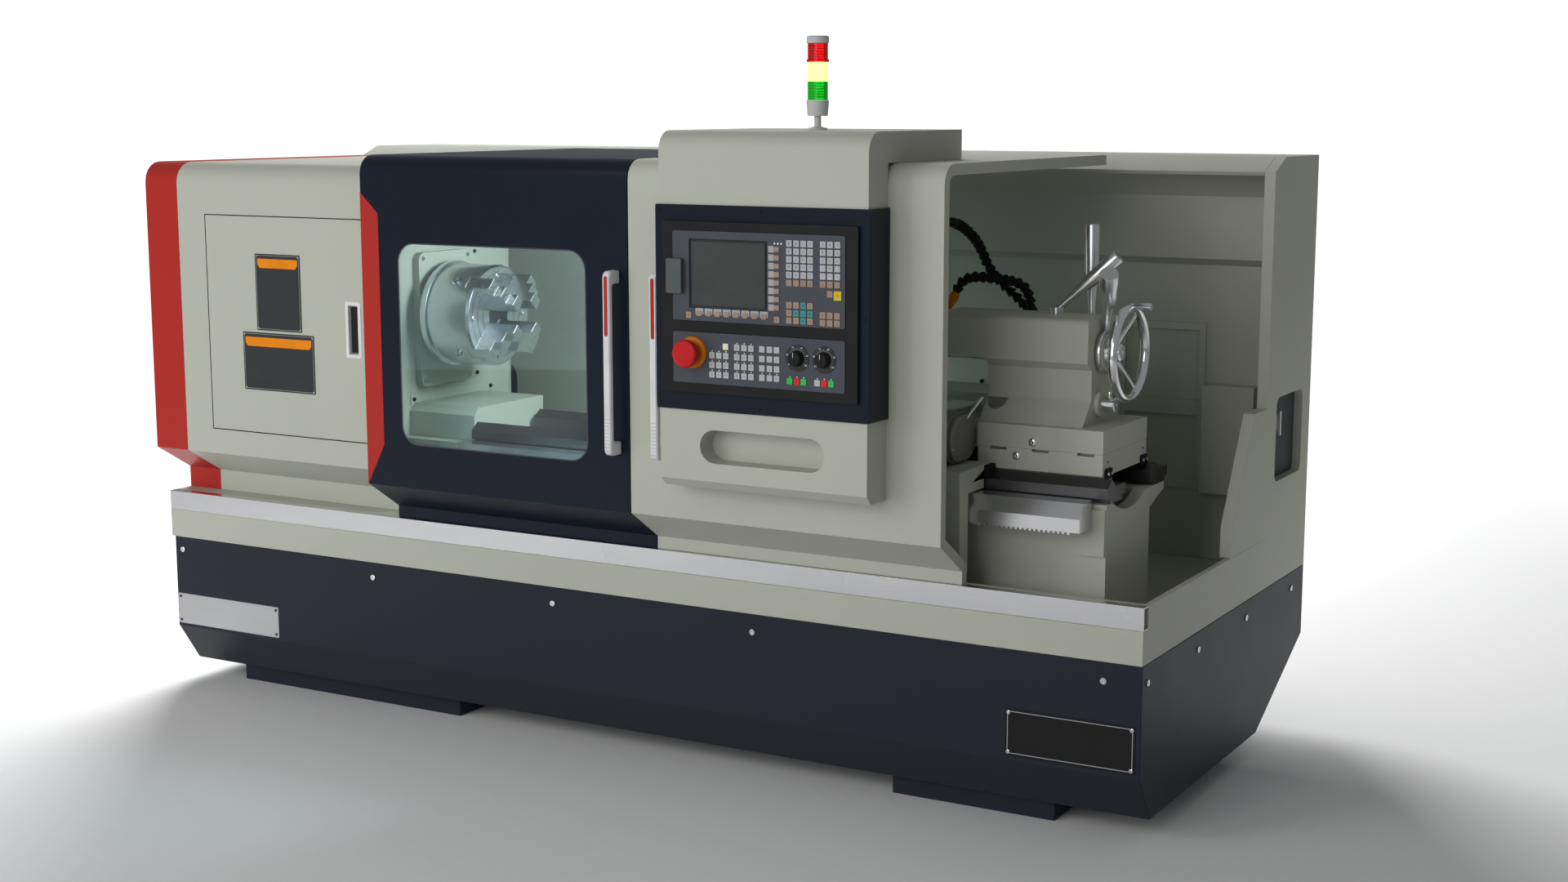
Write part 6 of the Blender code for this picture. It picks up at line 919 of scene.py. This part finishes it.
def display_keys():
    """Caps, printed labels and signs of the display unit."""
    rows = ROWS[:5]
    white = [display_spot(x, y) for y in rows for x in LETTERS_X + NUMBERS_X]
    key_caps("display_white_keys", white, KEY, "key_white", "silver_plastic")
    brown = [display_spot(x, ROWS[5]) for x in LETTERS_X + NUMBERS_X] + [display_spot(0.917, 0.630)]
    teal_places = ((2, 0), (1, 1), (2, 1), (3, 1), (2, 2))
    for row, down in enumerate(CURSOR_ROWS):
        brown += [display_spot(across, down) for column, across in enumerate(LETTERS_X)
            if (column, row) not in teal_places]
    brown += [display_spot(x, y) for y in CORNER_ROWS for x in NUMBERS_X]
    brown += [display_spot(0.097, 0.938), display_spot(0.616, 0.938)]
    key_caps("display_brown_keys", brown, KEY, "key_brown", "light_gray_plastic")
    teal = [display_spot(LETTERS_X[column], CURSOR_ROWS[row]) for column, row in teal_places]
    key_caps("display_teal_keys", teal, KEY, "key_teal", "light_gray_plastic")
    key_caps("display_yellow_key", [display_spot(0.960, 0.645)], (0.0204, 0.0224), "key_yellow",
        "lens_amber")
    soft, labels = [], bmesh.new()
    for number in range(8):
        column = display_spot(0.160 + 0.380 * number / 7, 0.915)
        row = display_spot(0.613, 0.172 + 0.636 * number / 7)
        soft += [column, row]
        add_prism(labels, rounded(0.0150, 0.0155, 0.0008, 2), row + LEFT * 0.0152, FRONT, -KEY_BASE,
            0.0004)
        add_prism(labels, rounded(0.0225, 0.0150, 0.0008, 2), column + UP * 0.0055, FRONT, -KEY_BASE,
            0.0004)
    key_caps("display_soft_keys", soft, SOFT_KEY, "key_brown", "light_gray_plastic")
    piece("soft_key_labels", labels, "right_door", "label_gray", "silver_plastic")
    signs, lift = bmesh.new(), FRONT * SIGN_HEIGHT
    for number, spot in enumerate(white):
        row, column = divmod(number, 7)
        if column < 4:
            sign = LETTER_SIGNS[row * 4 + column]
        else:
            sign = NUMBER_SIGNS[row * 3 + column - 4]
        add_words(signs, sign, 0.0085, spot + lift, FRONT)
    for number, spot in enumerate(brown):
        sign = ("-", "+", "[]", "()", "||", "==")[number % 6]
        add_words(signs, sign, 0.0070, spot + lift, FRONT)
    arrows = (math.pi / 2, math.pi, None, 0.0, -math.pi / 2)
    for spot, turn in zip(teal, arrows):
        if turn is None:
            add_frame(signs, rounded(0.0070, 0.0070, 0.0008, 2), rounded(0.0056, 0.0056, 0.0006, 2), spot,
                FRONT, KEY_HEIGHT, SIGN_HEIGHT)
        else:
            corners = [(0.0035 * math.cos(turn + step), 0.0035 * math.sin(turn + step))
                for step in (0, 2 * math.pi / 3, 4 * math.pi / 3)]
            add_prism(signs, corners, spot, FRONT, KEY_HEIGHT, SIGN_HEIGHT)
    add_words(signs, "+", 0.0120, display_spot(0.960, 0.645) + lift, FRONT)
    piece("display_key_signs", signs, "right_door", "mark_dark", "black_plastic")
    lamps = bmesh.new()
    for across in (0.602, 0.621, 0.640):
        add_prism(lamps, rounded(0.0042, 0.0042, 0.0006, 2), display_spot(across, 0.108), FRONT, -0.0001,
            0.0006)
    piece("display_lamps", lamps, "right_door", "mark_white", "silver_plastic")


def panel_keys():
    """Caps, lamps and signs of the machine panel."""
    mode = [(x, y) for y in (0.432, 0.620, 0.806) for x in (0.235, 0.276, 0.318)]
    tool = [(x, y) for y in (0.253, 0.439, 0.622, 0.804) for x in (0.383, 0.425, 0.466)]
    moves = [(x, y) for y in (0.253, 0.439, 0.622, 0.804) for x in (0.530, 0.574, 0.615)]
    white = mode + tool + moves + [(0.847, 0.830)]
    key_caps("panel_white_keys", [panel_spot(*spot) for spot in white], KEY, "key_white",
        "silver_plastic")
    key_caps("panel_cream_key", [panel_spot(0.316, 0.250)], KEY, "key_cream", "silver_plastic")
    greens = [panel_spot(x, 0.830) for x in (0.690, 0.769, 0.925)]
    reds = [panel_spot(x, 0.830) for x in (0.731, 0.886)]
    key_caps("panel_green_keys", greens, KEY, "key_green", "lens_green")
    key_caps("panel_red_keys", reds, KEY, "key_red", "estop_red")
    lamps = bmesh.new()
    lit = mode + tool + [spot for spot in moves if spot[1] > 0.7] + [(0.847, 0.830)]
    lit += [(x, 0.830) for x in (0.690, 0.731, 0.769, 0.886, 0.925)]
    for across, down in lit:
        add_prism(lamps, rounded(0.0030, 0.0026, 0.0004, 2), panel_spot(across, down - 0.083), FRONT,
            -0.0001, 0.0005)
    piece("panel_lamps", lamps, "right_door", "mark_white", "silver_plastic")
    signs, lift = bmesh.new(), FRONT * SIGN_HEIGHT
    shapes = ("[]", "->", "()", "||", "<>", "{}", "/|", "+-", "=>")
    for number, spot in enumerate(mode + tool):
        add_words(signs, shapes[number % len(shapes)], 0.0072, panel_spot(*spot) + lift, FRONT)
    for (across, down), sign in zip(moves, ("", "+", "", "<", "~", ">", "", "-", "", "<", "-", ">")):
        if sign:
            add_words(signs, sign, 0.0085, panel_spot(across, down) + lift, FRONT)
    for spot, sign in zip(greens + reds, ("|", "|", "|", "0", "0")):
        add_words(signs, sign, 0.0085, spot + lift, FRONT)
    piece("panel_key_signs", signs, "right_door", "mark_dark", "black_plastic")


def dials():
    """The two dials: dark discs with white figures and ticks, and knobs with a grip bar on them."""
    discs, marks = bmesh.new(), bmesh.new()
    figures = (("0", "20", "40", "60", "80", "100"), ("50", "60", "70", "80", "90", "100"))
    for (across, node, numbers) in ((0.733, "feed_knob", figures[0]), (0.885, "speed_knob", figures[1])):
        middle = panel_spot(across, 0.383)
        add_turned(discs, [(0, 0.0016), (0.0320, 0.0016), (0.0328, 0.0008), (0.0328, -0.0003),
            (0, -0.0003)], middle, FRONT, 48)
        count = 21
        for step in range(count):
            angle = math.radians(215 - 250 * step / (count - 1))
            inner, outer = (0.0215, 0.0245) if step % 4 else (0.0205, 0.0245)
            along = Vector((math.cos(angle), 0, math.sin(angle)))
            side = Vector((-math.sin(angle), 0, math.cos(angle))) * 0.0003
            lift = Vector((0, -0.00175, 0))
            corners = [middle + lift + along * inner - side, middle + lift + along * outer - side,
                middle + lift + along * outer + side, middle + lift + along * inner + side]
            marks.faces.new([marks.verts.new(corner) for corner in corners])
            if step % 4 == 0:
                add_words(marks, numbers[step // 4], 0.0062, middle + along * 0.0284 + lift, FRONT)
        profile = [(0, 0.0222), (0.0095, 0.0222), (0.0150, 0.0212), (0.0170, 0.0190), (0.0182, 0.0060),
            (0.0192, 0.0034), (0.0192, 0.0018), (0, 0.0018)]
        knob = bmesh.new()
        add_turned(knob, profile, middle, FRONT, 48)
        add_prism(knob, rounded(0.0080, 0.0350, 0.0038), middle, FRONT, 0.0050, 0.0235)
        made = piece(node + "_cap", knob, node, "black_plastic", width=0.0005)
        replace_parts(made, node)
        plate(node + "_line", rounded(0.0012, 0.0120, 0.0005, 2), middle + UP * 0.0095, FRONT,
            (0.0234, 0.0238), node, "mark_white", "silver_plastic")
    piece("dial_discs", discs, "right_door", "plate_dark", "black_plastic")
    piece("dial_marks", marks, "right_door", "mark_white", "silver_plastic")


def stop_button():
    """The red mushroom button on its orange collar."""
    middle = panel_spot(0.120, 0.400)
    cap = bmesh.new()
    add_turned(cap, [(0, 0.0468), (0.0215, 0.0468), (0.0295, 0.0462), (0.0330, 0.0440), (0.0345, 0.0400),
        (0.0345, 0.0310), (0.0335, 0.0285), (0.0310, 0.0270), (0.0150, 0.0262), (0.0150, 0.0002),
        (0, 0.0002)], middle, FRONT, 64)
    made = piece("stop_cap", cap, "estop", "estop_red", angle=50)
    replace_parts(made, "estop_button")
    collar = bmesh.new()
    add_turned(collar, [(0.0158, 0.0070), (0.0270, 0.0078), (0.0350, 0.0074), (0.0385, 0.0052),
        (0.0395, 0.0020), (0.0395, -0.0002), (0.0158, -0.0002), (0.0158, 0.0070)], middle, FRONT, 64)
    piece("stop_collar", collar, "right_door", "collar_orange", "lens_amber", angle=50)


screen_and_frames()
display_keys()
panel_keys()
dials()
stop_button()


# Stage, camera and lights
FLOOR_SIZE = 40
FADE_START, FADE_END = 3.4, 6.5
BACKGROUND = 1.1
SKY = (0.96, 0.98, 1.0, 1)
SKY_STRENGTH, SKY_GLOSS_STRENGTH = 0.20, 0.26
CAMERA_PLACE = (3.278, -5.2152, 1.778)
CAMERA_TURN = (math.radians(81.02), 0, math.radians(29.72))
LENS_MM, SENSOR_MM = 49.15, 36
# Each light's name, place, aim, size, power, and whether it shows in glossy surfaces
LIGHTS = (
    ("back_light", (-3.2, 4.4, 3.8), (0.0, 0.0, 0.4), 4.0, 760, False),
    ("front_light", (-3.4, -6.2, 2.2), (-0.4, -0.5, 1.1), 4.0, 140, False),
    ("tail_light", (0.8, -6.4, 2.6), (0.9, 0.0, 1.0), 3.0, 96, True),
    ("glint_light", (-2.2, -5.4, 4.6), (0.6, 0.0, 1.1), 1.4, 30, True),
    ("work_light", (0.22, -0.16, 1.48), (-0.80, -0.05, 1.0), 0.36, 13, True))


def floor_finish():
    """A matt pale floor that fades into the white background away from the machine."""
    tree, shader, where = shaded("floor_paint", (0.80, 0.80, 0.80), 0.85)
    tones = [(NOISE_LOW, (0.795, 0.795, 0.795)), (NOISE_HIGH, (0.805, 0.805, 0.805))]
    coloured(tree, shader, noise(tree, where, 30.0), tones)
    away = tree.nodes.new("ShaderNodeVectorMath")
    away.operation = "LENGTH"
    tree.links.new(where, away.inputs[0])
    fade = add_node(tree, "MapRange", {"From Min": FADE_START, "From Max": FADE_END,
        "Value": away.outputs["Value"]})
    fade.interpolation_type = "SMOOTHSTEP"
    seen = tree.nodes.new("ShaderNodeMath")
    seen.operation = "MULTIPLY"
    tree.links.new(fade.outputs["Result"], seen.inputs[0])
    tree.links.new(ray_kind(tree, "Is Camera Ray"), seen.inputs[1])
    white = add_node(tree, "Emission", {"Strength": BACKGROUND})
    both = mixed(tree, seen.outputs["Value"], shader.outputs["BSDF"], white.outputs["Emission"])
    tree.links.new(both, tree.nodes["Material Output"].inputs["Surface"])


def add_floor():
    """The pale floor."""
    shape = bmesh.new()
    bmesh.ops.create_grid(shape, x_segments=1, y_segments=1, size=FLOOR_SIZE)
    mesh = bpy.data.meshes.new("floor")
    shape.to_mesh(mesh)
    shape.free()
    floor_finish()
    mesh.materials.append(finishes["floor_paint"])
    floor = placed("floor", mesh)


def add_background():
    """A soft sky for light and reflections, and plain white where the camera sees past the floor."""
    world = bpy.data.worlds.new("soft")
    bpy.context.scene.world = world
    world.use_nodes = True
    tree = world.node_tree
    light = tree.nodes["Background"]
    fill(tree, light, {"Color": SKY, "Strength": SKY_STRENGTH})
    gloss = add_node(tree, "Background", {"Color": SKY, "Strength": SKY_GLOSS_STRENGTH})
    white = add_node(tree, "Background", {"Color": (1, 1, 1, 1), "Strength": BACKGROUND})
    soft = mixed(tree, ray_kind(tree, "Is Glossy Ray"), light.outputs["Background"],
        gloss.outputs["Background"])
    both = mixed(tree, ray_kind(tree, "Is Camera Ray"), soft, white.outputs["Background"])
    tree.links.new(both, tree.nodes["World Output"].inputs["Surface"])


def add_lights():
    """Soft lights from behind, the front and the tailstock's side, and a small one in the work zone."""
    for name, place, aim, size, power, shines in LIGHTS:
        lamp = bpy.data.lights.new(name, "AREA")
        lamp.size = size
        lamp.energy = power
        holder = placed(name, lamp)
        holder.visible_camera = False
        holder.visible_glossy = shines
        holder.location = place
        holder.rotation_euler = (Vector(aim) - Vector(place)).to_track_quat("-Z", "Y").to_euler()


def add_camera():
    """The camera at the photo's angle."""
    view = bpy.data.cameras.new("camera")
    view.lens = LENS_MM
    view.sensor_width = SENSOR_MM
    camera = placed("camera", view)
    camera.location = CAMERA_PLACE
    camera.rotation_euler = CAMERA_TURN
    bpy.context.scene.camera = camera


add_floor()
add_background()
add_lights()
add_camera()
bpy.context.scene.view_settings.view_transform = "Standard"
